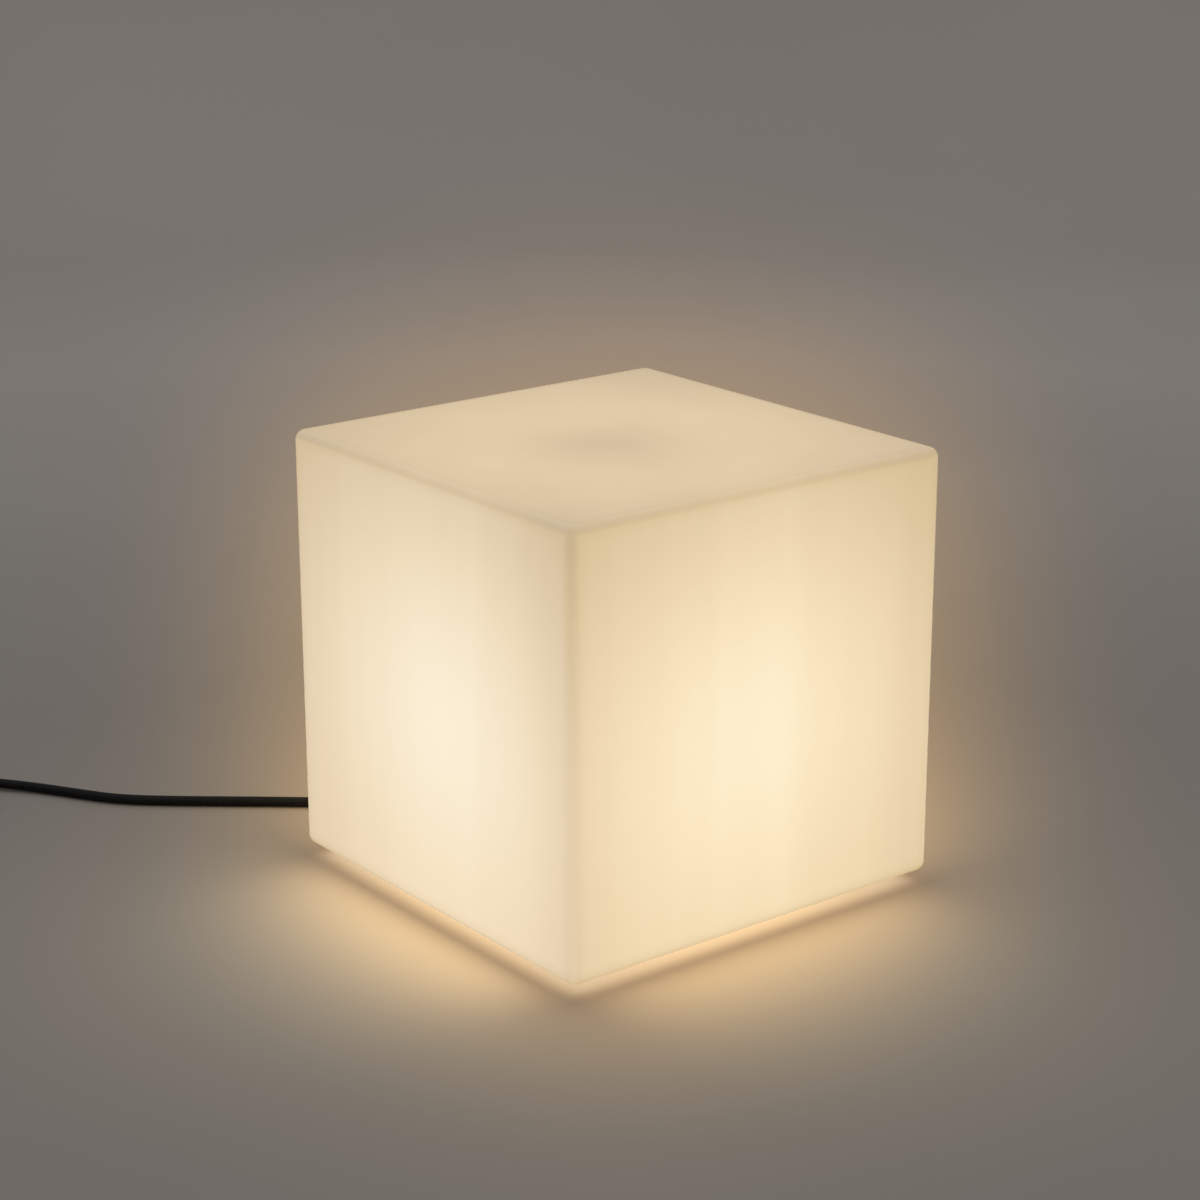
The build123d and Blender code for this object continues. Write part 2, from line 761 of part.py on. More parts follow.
with BuildPart() as lampholder_bracket:
    with BuildSketch(Plane.XY.offset(flange_top)):
        RectangleRounded(bracket_length, bracket_width, bracket_corner_radius)
        Circle(nipple_radius + fit_gap, mode=Mode.SUBTRACT)
        with Locations(*bracket_screw_places):
            Circle(screw_hole_radius, mode=Mode.SUBTRACT)
    extrude(amount=bracket_thickness)
lampholder_bracket.part.label = "lampholder_bracket"
export_step(lampholder_bracket.part, "parts/lampholder_bracket.step")

bracket_screw = make_screw(
    screw_radius,
    bracket_screw_length + bracket_thickness - fit_gap,
    screw_head_radius,
    screw_head_height,
    cross_recess,
    cross_recess_depth,
)
with BuildPart(Plane.XY.offset(bracket_top)) as bracket_screws:
    with Locations(*bracket_screw_places):
        with Locations(Rotation(180, 0, 0)):
            add(bracket_screw)
bracket_screws.part.label = "bracket_screws"
export_step(bracket_screws.part, "parts/bracket_screws.step")

with BuildPart() as nipple:
    with BuildSketch(Plane.XY.offset(flange_top - nipple_below)):
        Circle(nipple_radius)
        Circle(nipple_bore_radius, mode=Mode.SUBTRACT)
    extrude(amount=nipple_below + bracket_thickness + nipple_above)
nipple.part.label = "nipple"
export_step(nipple.part, "parts/nipple.step")

with BuildPart() as nipple_nut:
    with BuildSketch(Plane.XY.offset(flange_top)):
        RegularPolygon(nipple_nut_flats / 2, side_count=6, major_radius=False)
        Circle(nipple_radius + fit_gap, mode=Mode.SUBTRACT)
    extrude(amount=-nipple_nut_height)
nipple_nut.part.label = "nipple_nut"
export_step(nipple_nut.part, "parts/nipple_nut.step")

with BuildPart() as holder_cap:
    neck_top = bracket_top + holder_neck_height
    shoulder = (holder_radius + holder_neck_radius) / 2
    cap_rim_base = holder_insert_base - holder_cap_rim_height
    cap_floor = bracket_top + holder_neck_solid
    with BuildSketch(Plane.XZ):
        with BuildLine():
            Line((nipple_radius + fit_gap, bracket_top), (holder_neck_radius, bracket_top))
            Line((holder_neck_radius, bracket_top), (holder_neck_radius, neck_top))
            Spline(
                (holder_neck_radius, neck_top),
                (shoulder, neck_top + holder_cap_curve_rise),
                (holder_radius, cap_rim_base),
                tangents=(holder_cap_curve_start, (0, 1)),
            )
            Line((holder_radius, cap_rim_base), (holder_radius, holder_insert_base))
            Line((holder_radius, holder_insert_base), (holder_radius - holder_wall, holder_insert_base))
            Line(
                (holder_radius - holder_wall, holder_insert_base),
                (shoulder - holder_wall, cap_floor + holder_cap_floor_rise),
            )
            Line(
                (shoulder - holder_wall, cap_floor + holder_cap_floor_rise),
                (nipple_radius + fit_gap, cap_floor),
            )
            Line(
                (nipple_radius + fit_gap, cap_floor),
                (nipple_radius + fit_gap, bracket_top),
            )
        make_face()
    revolve(axis=Axis.Z)
holder_cap.part.label = "holder_cap"
export_step(holder_cap.part, "parts/holder_cap.step")

with BuildPart() as holder_insert:
    with BuildSketch(Plane.XY.offset(holder_insert_base)):
        Circle(holder_radius - holder_wall)
    extrude(amount=holder_insert_height)
    fillet(holder_insert.edges().group_by(Axis.Z)[-1], radius=holder_insert_round)
    with BuildSketch(Plane.XY.offset(holder_insert_top)):
        SlotOverall(
            contact_leaf_length + 2 * leaf_pocket_margin,
            contact_leaf_width + 2 * leaf_pocket_margin,
            rotation=90,
        )
    extrude(amount=-leaf_pocket_depth, mode=Mode.SUBTRACT)
holder_insert.part.label = "holder_insert"
export_step(holder_insert.part, "parts/holder_insert.step")

with BuildPart() as holder_skirt:
    lip_base = holder_top - skirt_lip_height
    seat_top = holder_insert_base + skirt_seat_height
    with BuildSketch(Plane.XZ):
        with BuildLine():
            Polyline(
                (holder_radius - holder_wall + fit_gap, holder_insert_base),
                (holder_radius, holder_insert_base),
                (holder_top_radius, holder_top - skirt_top_chamfer),
                (holder_top_radius - skirt_top_chamfer, holder_top),
                (skirt_lip_radius, holder_top),
                (skirt_lip_radius, lip_base),
                (skirt_bore_radius, lip_base),
                (skirt_bore_radius, seat_top),
                (holder_radius - holder_wall + fit_gap, seat_top),
                close=True,
            )
        make_face()
    revolve(axis=Axis.Z)
holder_skirt.part.label = "holder_skirt"
export_step(holder_skirt.part, "parts/holder_skirt.step")

# ---------------------------------------------------------------- round thread

# A ridge of round section winds along the wall. The holder's ridge lies half a pitch from the
# cap's, so that each runs in the other's groove.
cap_thread_base = cap_base + cap_thread_start
whole_pitches_up = floor((cap_thread_base - holder_insert_top) / thread_pitch - 0.5)
holder_thread_base = cap_thread_base - (whole_pitches_up - 0.5) * thread_pitch
holder_thread_top = holder_insert_top + threaded_shell_height - holder_ridge_radius - holder_thread_margin

with BuildPart() as threaded_shell:
    with BuildLine() as holder_helix:
        Helix(
            thread_pitch,
            holder_thread_top - holder_thread_base,
            holder_ridge_centre,
            center=(0, 0, holder_thread_base),
        )
    with BuildSketch(Plane(origin=holder_helix.line @ 0, z_dir=holder_helix.line % 0)):
        Circle(holder_ridge_radius)
    sweep(is_frenet=True)
    with BuildSketch(Plane.XY.offset(holder_insert_top)):
        Circle(holder_bore_radius + threaded_shell_wall)
        Circle(holder_bore_radius, mode=Mode.SUBTRACT)
    extrude(amount=threaded_shell_height)
    with BuildSketch(Plane.XY.offset(holder_insert_top)):
        Circle(skirt_bore_radius)
        Circle(holder_bore_radius + threaded_shell_wall, mode=Mode.SUBTRACT)
    extrude(amount=threaded_shell_height, mode=Mode.SUBTRACT)
    with BuildSketch(Plane.XY.offset(holder_insert_top)):
        Circle(skirt_bore_radius - fit_gap)
        Circle(holder_bore_radius - threaded_shell_step, mode=Mode.SUBTRACT)
    extrude(amount=threaded_shell_wall)
threaded_shell.part.label = "threaded_shell"
export_step(threaded_shell.part, "parts/threaded_shell.step")

with BuildPart() as cap_shell:
    with BuildLine() as cap_helix:
        Helix(
            thread_pitch,
            thread_pitch * cap_thread_turns,
            cap_ridge_centre,
            center=(0, 0, cap_thread_base),
        )
    with BuildSketch(Plane(origin=cap_helix.line @ 0, z_dir=cap_helix.line % 0)):
        Circle(cap_ridge_radius)
    sweep(is_frenet=True)
    with BuildSketch(Plane.XY.offset(cap_base)):
        Circle(cap_radius)
    extrude(amount=cap_top - cap_base)
    with BuildSketch(Plane.XY.offset(cap_base)):
        Circle(cap_radius - cap_wall)
    extrude(amount=cap_top - cap_base, mode=Mode.SUBTRACT)
cap_shell.part.label = "cap_shell"
export_step(cap_shell.part, "parts/cap_shell.step")

with BuildPart() as centre_contact:
    leaf_end = contact_leaf_length / 2
    with BuildSketch(Plane.XY.offset(contact_leaf_top)):
        SlotOverall(contact_leaf_length, contact_leaf_width, rotation=90)
    extrude(amount=-contact_leaf_thickness)
    with BuildSketch(Plane((0, leaf_end - contact_leaf_width / 2, contact_leaf_top))):
        Circle(contact_post_radius)
    extrude(amount=-contact_leaf_rise - leaf_pocket_depth)
centre_contact.part.label = "centre_contact"
export_step(centre_contact.part, "parts/centre_contact.step")

with BuildPart() as holder_terminals:
    with BuildSketch(Plane.XY.offset(holder_insert_base)):
        with GridLocations(holder_terminal_spacing, 0, 2, 1):
            Rectangle(holder_terminal_size, holder_terminal_size)
    extrude(amount=-holder_terminal_size)
holder_terminals.part.label = "holder_terminals"
export_step(holder_terminals.part, "parts/holder_terminals.step")

# ---------------------------------------------------------------- bulb

with BuildPart() as bulb_contact:
    with BuildSketch(Plane.XY.offset(bulb_tip)):
        Circle(bulb_contact_radius)
    extrude(amount=bulb_contact_height)
    fillet(bulb_contact.edges().group_by(Axis.Z)[0], radius=bulb_contact_round)
    with BuildSketch(Plane.XY.offset(bulb_tip + bulb_contact_height)):
        Circle(bulb_stem_radius)
    extrude(amount=bulb_stem_length)
bulb_contact.part.label = "bulb_contact"
export_step(bulb_contact.part, "parts/bulb_contact.step")

with BuildPart() as cap_insulator:
    insulator_base = bulb_tip + bulb_contact_height + fit_gap
    insulator_bore = bulb_stem_radius + fit_gap
    cap_bore = cap_radius - cap_wall
    with BuildSketch(Plane.XZ):
        with BuildLine():
            Polyline(
                (insulator_bore, insulator_base),
                (insulator_tip_radius, insulator_base),
                (cap_bore - insulator_shoulder_gap, cap_base - insulator_shoulder_drop),
                (cap_bore - fit_gap, cap_base + insulator_seat_height),
                (cap_bore - fit_gap, cap_base + insulator_plug_height),
                (insulator_bore, cap_base + insulator_plug_height),
                close=True,
            )
        make_face()
    revolve(axis=Axis.Z)
cap_insulator.part.label = "cap_insulator"
export_step(cap_insulator.part, "parts/cap_insulator.step")

with BuildPart() as driver_housing:
    plug_radius = cap_radius - cap_wall - fit_gap
    collar_top = housing_base + housing_collar_height
    flare_top = housing_base + housing_flare_height
    with BuildSketch(Plane.XZ):
        with BuildLine():
            Line((plug_radius - housing_wall, housing_base - housing_plug_length),
                 (plug_radius, housing_base - housing_plug_length))
            Line((plug_radius, housing_base - housing_plug_length), (plug_radius, housing_base))
            Line((plug_radius, housing_base), (housing_collar_radius, housing_base))
            Line((housing_collar_radius, housing_base), (housing_collar_radius, collar_top))
            Spline(
                (housing_collar_radius, collar_top),
                (housing_radius, flare_top),
                tangents=(housing_flare_start, (0, 1)),
            )
            Line((housing_radius, flare_top), (housing_radius, housing_top))
            Line((housing_radius, housing_top), (plug_radius, housing_top))
            Line((plug_radius, housing_top), (plug_radius, housing_top - housing_wall))
            Line((plug_radius, housing_top - housing_wall),
                 (housing_radius - housing_wall, housing_top - housing_wall))
            Line((housing_radius - housing_wall, housing_top - housing_wall),
                 (housing_radius - housing_wall, flare_top))
            Line((housing_radius - housing_wall, flare_top), (plug_radius - housing_wall, collar_top))
            Line((plug_radius - housing_wall, collar_top),
                 (plug_radius - housing_wall, housing_base - housing_plug_length))
        make_face()
    revolve(axis=Axis.Z)
    fillet(driver_housing.edges().group_by(Axis.Z)[-1].sort_by(Edge.length)[-1], radius=housing_top_round)
driver_housing.part.label = "driver_housing"
export_step(driver_housing.part, "parts/driver_housing.step")

board_base = housing_top - housing_wall - driver_board_height
with BuildPart() as driver_board:
    with BuildSketch(Plane.XZ.offset(-driver_board_thickness / 2)):
        with Locations((0, board_base)):
            Rectangle(driver_board_width, driver_board_height, align=(Align.CENTER, Align.MIN))
    extrude(amount=driver_board_thickness)
driver_board.part.label = "driver_board"
export_step(driver_board.part, "parts/driver_board.step")

board_front = driver_board_thickness / 2
board_middle = board_base + driver_board_height / 2
with BuildPart() as driver_components:
    capacitor_y = -board_front - capacitor_radius
    with BuildSketch(Plane((capacitor_x, capacitor_y, board_middle - capacitor_length / 2))):
        Circle(capacitor_radius)
    extrude(amount=capacitor_length)
    choke_y = -board_front - choke_size / 2
    with BuildSketch(Plane((choke_x, choke_y, board_middle - choke_height / 2))):
        RectangleRounded(choke_size, choke_size, choke_corner_radius)
    extrude(amount=choke_height)
    with BuildSketch(Plane((chip_block_x, board_front + chip_block_thickness / 2, board_middle))):
        Rectangle(chip_block_width, chip_block_thickness)
    extrude(amount=chip_block_width)
driver_components.part.label = "driver_components"
export_step(driver_components.part, "parts/driver_components.step")

with BuildPart() as led_column:
    column_turn = 180 / column_side_count
    with BuildSketch(Plane.XY.offset(housing_top)):
        RegularPolygon(column_flats / 2, column_side_count, major_radius=False, rotation=column_turn)
        RegularPolygon(column_flats / 2 - column_wall, column_side_count, major_radius=False,
                       rotation=column_turn, mode=Mode.SUBTRACT)
    extrude(amount=column_height)
led_column.part.label = "led_column"
export_step(led_column.part, "parts/led_column.step")

led_board_base = housing_top + (column_height - led_board_length) / 2
with BuildPart() as led_boards:
    with BuildSketch(Plane.XY.offset(led_board_base)):
        with PolarLocations(column_flats / 2 + led_board_thickness / 2, column_side_count):
            Rectangle(led_board_thickness, led_board_width)
    extrude(amount=led_board_length)
led_boards.part.label = "led_boards"
export_step(led_boards.part, "parts/led_boards.step")

chip_step = led_board_length / chip_rows
chip_radius = column_flats / 2 + led_board_thickness + chip_height / 2
with BuildPart() as led_chips:
    for row in range(chip_rows):
        with BuildSketch(Plane.XY.offset(led_board_base + chip_step * (row + 0.5) - chip_width / 2)):
            with PolarLocations(chip_radius, column_side_count):
                Rectangle(chip_height, chip_length)
        extrude(amount=chip_width)
led_chips.part.label = "led_chips"
export_step(led_chips.part, "parts/led_chips.step")

with BuildPart() as end_plate:
    with BuildSketch(Plane.XY.offset(column_top)):
        Circle(end_plate_radius)
    extrude(amount=end_plate_thickness)
    fillet(end_plate.edges().group_by(Axis.Z)[-1], radius=end_plate_round)
    with BuildSketch(Plane.XY.offset(column_top)):
        Circle(end_screw_radius + fit_gap)
    extrude(amount=end_plate_thickness, mode=Mode.SUBTRACT)
end_plate.part.label = "end_plate"
export_step(end_plate.part, "parts/end_plate.step")

end_screw_form = make_screw(
    end_screw_radius,
    end_screw_length,
    end_screw_head_radius,
    end_screw_head_height,
    end_screw_recess,
    end_screw_recess_depth,
)
with BuildPart(Plane.XY.offset(column_top + end_plate_thickness)) as end_screw:
    with Locations(Rotation(180, 0, 0)):
        add(end_screw_form)
end_screw.part.label = "end_screw"
export_step(end_screw.part, "parts/end_screw.step")

# ---------------------------------------------------------------- coil of the cord

# The cord is coiled in two layers: it spirals in on the lower one, climbs in the half turn about
# its innermost point, and spirals out on the upper one. Turns are counted from that point.
coil_lower = cord_radius + tie_gap + tie_thickness
coil_upper = coil_lower + coil_layer


def coil_slope(turns):
    """Angle by which the outermost turn leans in from its circle, in degrees."""
    return degrees(atan2(coil_pitch, 2 * pi * (coil_inner_radius + coil_pitch * turns)))


coil_heading_turns = coil_full_turns + (coil_end_heading - coil_start_heading) / 360
coil_lean = coil_slope(coil_heading_turns / 2)
coil_half_turns = (coil_heading_turns + 2 * coil_lean / 360) / 2
coil_start_angle = coil_start_heading - 90 - coil_lean


def coil_state(turn):
    """Place and heading of the centre line, so many turns before or after its innermost point."""
    radius = coil_inner_radius + coil_pitch * abs(turn)
    growth = coil_pitch * ((turn > 0) - (turn < 0))
    angle = radians(coil_start_angle) + 2 * pi * (turn + coil_half_turns)
    climb = min(max(turn / coil_climb_turns + 0.5, 0.0), 1.0) * pi
    place = Vector(
        coil_centre[0] + radius * cos(angle),
        coil_centre[1] + radius * sin(angle),
        coil_lower + coil_layer / 2 * (1 - cos(climb)),
    )
    heading = Vector(
        growth * cos(angle) - 2 * pi * radius * sin(angle),
        growth * sin(angle) + 2 * pi * radius * cos(angle),
        coil_layer / 2 * sin(climb) * pi / coil_climb_turns,
    )
    return place, heading.normalized()


def biarc(start, start_heading, end, end_heading):
    """Point and heading where two arcs meet that join one place and heading to another."""
    across = end - start
    both = start_heading + end_heading
    square = 2 * (1 - start_heading.dot(end_heading))
    reach = across.dot(both)
    length = (-reach + sqrt(reach * reach + square * across.dot(across))) / square
    first = start + start_heading * length
    second = end - end_heading * length
    return (first + second) * 0.5, (second - first).normalized()


coil_turns = [-coil_half_turns]
coil_turns += [quarter / 4 for quarter in range(-floor(4 * coil_half_turns), floor(4 * coil_half_turns) + 1)]
coil_turns += [coil_half_turns]
coil_start, coil_start_way = coil_state(coil_turns[0])
coil_end, coil_end_way = coil_state(coil_turns[-1])
coil_mouth = coil_start - coil_start_way * coil_lead
coil_tail = coil_end + coil_end_way * coil_tail_lead

with BuildPart() as cord_coil:
    with BuildLine() as coil_route:
        Line(coil_mouth, coil_start)
        for before, after in zip(coil_turns, coil_turns[1:]):
            here, here_way = coil_state(before)
            there, there_way = coil_state(after)
            meeting, meeting_way = biarc(here, here_way, there, there_way)
            TangentArc(here, meeting, tangent=here_way)
            TangentArc(meeting, there, tangent=meeting_way)
        Line(coil_end, coil_tail)
    with BuildSketch(Plane(origin=coil_mouth, z_dir=coil_start_way)):
        Circle(cord_radius)
    sweep()
cord_coil.part.label = "cord_coil"
export_step(cord_coil.part, "parts/cord_coil.step")

# least gap of the coil to itself, on points along its centre line
points_per_turn = 48
coil_length = coil_route.wires()[0].length
sample_count = int(2 * coil_half_turns * points_per_turn)
coil_wire = coil_route.wires()[0]
samples = [coil_wire @ (i / sample_count) for i in range(sample_count + 1)]
least_gap = min(
    (samples[i] - samples[j]).length - 2 * cord_radius
    for i in range(len(samples))
    for j in range(i + points_per_turn // 2, len(samples))
)
print(f"coil: {2 * coil_half_turns:.2f} turns, length {coil_length:.1f}, least gap {least_gap:.2f}")

# The tie goes round the bundle of turns, from the least radius that they have at its angle to the
# largest.
tie_passes = [turn + (tie_angle - coil_start_angle) / 360 for turn in range(coil_full_turns + 1)]
tie_turns = [passed - coil_half_turns for passed in tie_passes if passed <= 2 * coil_half_turns]
tie_radii = [coil_inner_radius + coil_pitch * abs(turn) for turn in tie_turns]
tie_middle = (min(tie_radii) + max(tie_radii)) / 2
bundle_width = max(tie_radii) - min(tie_radii) + 2 * (cord_radius + tie_side_gap)
bundle_height = coil_layer + 2 * (cord_radius + tie_gap)
tie_way = radians(tie_angle)
with BuildPart() as cord_tie:
    tie_plane = Plane(
        origin=(
            coil_centre[0] + tie_middle * cos(tie_way),
            coil_centre[1] + tie_middle * sin(tie_way),
            (coil_lower + coil_upper) / 2,
        ),
        x_dir=(cos(tie_way), sin(tie_way), 0),
        z_dir=(-sin(tie_way), cos(tie_way), 0),
    )
    with BuildSketch(tie_plane):
        RectangleRounded(
            bundle_width + 2 * tie_thickness,
            bundle_height + 2 * tie_thickness,
            tie_corner_radius + tie_thickness,
        )
        RectangleRounded(bundle_width, bundle_height, tie_corner_radius, mode=Mode.SUBTRACT)
    extrude(amount=tie_width / 2, both=True)
cord_tie.part.label = "cord_tie"
export_step(cord_tie.part, "parts/cord_tie.step")

# ---------------------------------------------------------------- cord

# From the bend relief the cord comes down to the floor, leaves through the groove, swings out
# beside the cube and runs along the floor to the coil.
cord_floor = cord_radius
cord_end = coil_mouth
cord_last_corner = cord_end - coil_start_way * coil_last_run
cord_points = [
    (0.0, relief_end, gland_height),
    (0.0, 68.0, gland_height),
    (0.0, 83.5, 20.2),
    (0.0, 99.0, 13.0),
    (0.0, 115.0, 6.3),
    (0.0, 133.0, cord_floor),
    (-5.2, 151.3, cord_floor),
    (-15.9, 167.0, cord_floor),
    (-31.6, 179.3, cord_floor),
    (-51.1, 187.2, cord_floor),
    (-68.9, 196.3, cord_floor),
    (-85.7, 207.2, cord_floor),
    (-101.4, 219.6, cord_floor),
    (-129.5, 243.6, cord_floor),
    (-181.5, 286.2, cord_floor),
    (-207.0, 310.5, cord_floor),
    (-221.5, 333.0, cord_floor),
    (-240.5, 364.8, cord_floor),
    (cord_last_corner.X, cord_last_corner.Y, cord_last_corner.Z),
    (cord_end.X, cord_end.Y, cord_end.Z),
]
cord_vectors = [Vector(*point) for point in cord_points]
cord_radii = []
for before, corner, after in zip(cord_vectors, cord_vectors[1:], cord_vectors[2:]):
    run_in = corner - before
    run_out = after - corner
    turn = radians(run_in.get_angle(run_out))
    cord_radii.append(cord_arc_share * min(run_in.length, run_out.length) / tan(turn / 2))
print("cord radii:", " ".join(f"{radius:.0f}" for radius in cord_radii))

with BuildPart() as cord:
    with BuildLine() as cord_route:
        FilletPolyline(*cord_points, radius=cord_radii)
    with BuildSketch(Plane(origin=cord_route.line @ 0, z_dir=cord_route.line % 0)):
        Circle(cord_radius)
    sweep()
cord.part.label = "cord"
export_step(cord.part, "parts/cord.step")

cord_length = cord_route.wires()[0].length
cord_section = pi * cord_radius**2
print(f"cord: length {cord_length:.1f}, volume {cord.part.volume:.0f} of {cord_section * cord_length:.0f}")
print(f"coil: volume {cord_coil.part.volume:.0f} of {cord_section * coil_length:.0f}")
print(f"free cord in all: {cord_length + coil_length:.1f}")

# ---------------------------------------------------------------- plug

# The plug lies flat on the floor beside the coil, so its axis is as high as the coil's last turn.
plug_height = 2 * coil_upper
plug_body_start = plug_boot_length
plug_face = plug_body_start + plug_body_length


def plug_plane(distance):
    """Plane across the plug's axis, so far from the end of the coil."""
    return Plane(origin=coil_tail + coil_end_way * distance, x_dir=(0, 0, 1), z_dir=coil_end_way)


plug_axis = Axis(coil_tail, coil_end_way)

with BuildPart() as plug_boot:
    with BuildSketch(plug_plane(0)):
        Circle(plug_boot_tip_radius)
    with BuildSketch(plug_plane(plug_boot_length)):
        Circle(plug_boot_root_radius)
    loft()
    for groove in range(plug_boot_groove_count):
        groove_place = plug_boot_length * (groove + plug_boot_first_groove) / plug_boot_groove_count
        with BuildSketch(plug_plane(groove_place)):
            Circle(plug_neck_width / 2)
            boot_slope = (plug_boot_root_radius - plug_boot_tip_radius) / plug_boot_length
            groove_root = plug_boot_tip_radius + boot_slope * groove_place - relief_groove_depth
            Circle(groove_root, mode=Mode.SUBTRACT)
        extrude(amount=relief_groove_width, mode=Mode.SUBTRACT)
plug_boot.part.label = "plug_boot"
export_step(plug_boot.part, "parts/plug_boot.step")

with BuildPart() as plug_body:
    with BuildSketch(plug_plane(plug_body_start)):
        SlotOverall(plug_neck_width, plug_neck_height, rotation=90)
    with BuildSketch(plug_plane(plug_body_start + plug_neck_length)):
        SlotOverall(plug_body_width, plug_height, rotation=90)
    loft()
    with BuildSketch(plug_plane(plug_body_start + plug_neck_length)):
        SlotOverall(plug_body_width, plug_height, rotation=90)
    extrude(amount=plug_body_length - plug_neck_length)
    face_edges = plug_body.faces().sort_by(plug_axis)[-1].edges()
    fillet(face_edges, radius=plug_edge_round)
    with BuildSketch(plug_plane(plug_face)):
        with GridLocations(0, pin_spacing, 1, 2):
            Circle(pin_root_radius + fit_gap)
    extrude(amount=-pin_seat, mode=Mode.SUBTRACT)
plug_body.part.label = "plug_body"
export_step(plug_body.part, "parts/plug_body.step")

with BuildPart() as plug_pins:
    with BuildSketch(plug_plane(plug_face)):
        with GridLocations(0, pin_spacing, 1, 2):
            Circle(pin_radius)
    extrude(amount=pin_length)
    pin_ends = plug_pins.faces().sort_by(plug_axis)[-2:]
    fillet(pin_ends.edges(), radius=pin_tip_round)
    with BuildSketch(plug_plane(plug_face)):
        with GridLocations(0, pin_spacing, 1, 2):
            Circle(pin_root_radius)
    extrude(amount=-pin_seat)
plug_pins.part.label = "plug_pins"
export_step(plug_pins.part, "parts/plug_pins.step")

pin_tip = coil_tail + coil_end_way * (plug_face + pin_length)
print(f"plug: pins end at {pin_tip.X:.2f}, {pin_tip.Y:.2f}, {pin_tip.Z:.2f}, way {coil_end_way}")
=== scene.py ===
# %% [markdown]
# # A cube light, dressed for its photograph
# The construction comes first and is fixed: every solid of the lamp is already in place, in metres,
# with the floor at z = 0. What is left is what the eye meets: light that shines through a moulded
# wall, black rubber on a pale floor, and a soft glow round it all. This script adds those in small
# steps, and each step prints what it made.

# %% Load the construction
import json
import math

import bpy
import numpy as np
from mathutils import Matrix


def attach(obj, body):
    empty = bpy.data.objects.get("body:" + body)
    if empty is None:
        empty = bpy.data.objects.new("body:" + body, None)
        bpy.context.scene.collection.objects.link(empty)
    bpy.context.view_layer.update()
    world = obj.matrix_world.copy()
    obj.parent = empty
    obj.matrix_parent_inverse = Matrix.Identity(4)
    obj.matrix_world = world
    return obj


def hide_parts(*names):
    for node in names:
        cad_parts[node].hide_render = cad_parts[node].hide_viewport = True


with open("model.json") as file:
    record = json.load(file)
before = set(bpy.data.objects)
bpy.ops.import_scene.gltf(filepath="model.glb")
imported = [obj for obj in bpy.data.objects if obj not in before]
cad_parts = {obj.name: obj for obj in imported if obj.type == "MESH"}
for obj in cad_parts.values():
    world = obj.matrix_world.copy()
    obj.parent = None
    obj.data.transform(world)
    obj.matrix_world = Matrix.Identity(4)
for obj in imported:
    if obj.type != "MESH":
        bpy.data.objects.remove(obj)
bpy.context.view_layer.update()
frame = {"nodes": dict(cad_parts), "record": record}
nodes = frame["nodes"]

# %% [markdown]
# ## Camera
# The vertical edges of the cube lean together a little towards the floor, and its top is seen from
# above. Both come from one camera that looks down by about 18 degrees from 1.9 m away, so its place
# and direction are given as they were found, and not turned towards a target.

# %% Camera where the photographer stood
camera_place = np.array([-1.0897, -1.3764, 0.7478])
camera_right = np.array([0.78666, -0.61738, -0.00166])
camera_down = np.array([-0.18822, -0.23726, -0.95304])
camera_forward = np.array([0.58799, 0.75003, -0.30285])

camera_pose = np.eye(4)
camera_pose[:3, 0] = camera_right
camera_pose[:3, 1] = -camera_down
camera_pose[:3, 2] = -camera_forward
camera_pose[:3, 3] = camera_place

camera = bpy.data.objects.new("camera", bpy.data.cameras.new("camera"))
camera.data.sensor_width = 36.0
camera.data.lens = 83.93
camera.data.clip_start = 0.05
camera.data.clip_end = 60.0
camera.data.dof.use_dof = False
camera.matrix_world = camera_pose.T.tolist()
bpy.context.scene.collection.objects.link(camera)
bpy.context.scene.camera = camera
print(f"camera {camera_place.round(3)} m, lens {camera.data.lens:.1f} mm")

# %% [markdown]
# ## Cord
# The cord is a 7 mm rubber cable. It leaves the gland under the lamp, comes down to the floor, passes
# through the groove in the back edge and lies along the floor in one long, lazy curve. What is left
# of it waits in a tied coil. A cord has no corners, so its line is a smooth spline with the route's
# points as its control points, and a round bevel gives it its thickness.

# %% Route of the cord on the floor, in millimetres
cord_radius = 3.5
cord_floor = cord_radius
route = [
    (0.0, 56.55, 24.0),
    (0.0, 68.0, 24.0),
    (0.0, 83.5, 20.2),
    (0.0, 99.0, 13.0),
    (0.0, 115.0, 6.3),
    (0.0, 133.0, cord_floor),
    (-5.2, 151.3, cord_floor),
    (-15.9, 167.0, cord_floor),
    (-31.6, 179.3, cord_floor),
    (-51.1, 187.2, cord_floor),
    (-68.9, 196.3, cord_floor),
    (-85.7, 207.2, cord_floor),
    (-101.4, 219.6, cord_floor),
    (-129.5, 243.6, cord_floor),
    (-181.5, 286.2, cord_floor),
    (-207.0, 310.5, cord_floor),
    (-221.5, 333.0, cord_floor),
    (-240.5, 364.8, cord_floor),
]
print(f"{len(route)} points from the gland to the coil")

# %% [markdown]
# The coil spirals in on the floor, climbs in its innermost half turn and spirals out on top of
# itself. Turns are counted from the innermost point, so one formula gives both layers: the radius
# grows by one pitch a turn either way.

# %% Points of the coil
coil_centre = (-326.4, 392.1)
coil_inner_radius = 28.4
coil_pitch = 7.5
coil_layer = 7.6
coil_climb_turns = 0.5
coil_lower = cord_radius + 1.1
coil_points_per_turn = 16
coil_last_run = 41.0
coil_tail_lead = 18.0
coil_full_turns = 5
coil_heading_in = 130.0
coil_heading_out = 270.0

heading_turns = coil_full_turns + (coil_heading_out - coil_heading_in) / 360
middle_radius = coil_inner_radius + coil_pitch * heading_turns / 2
coil_lean = math.degrees(math.atan2(coil_pitch, 2 * math.pi * middle_radius))
half_turns = (heading_turns + 2 * coil_lean / 360) / 2
start_angle = coil_heading_in - 90.0 - coil_lean


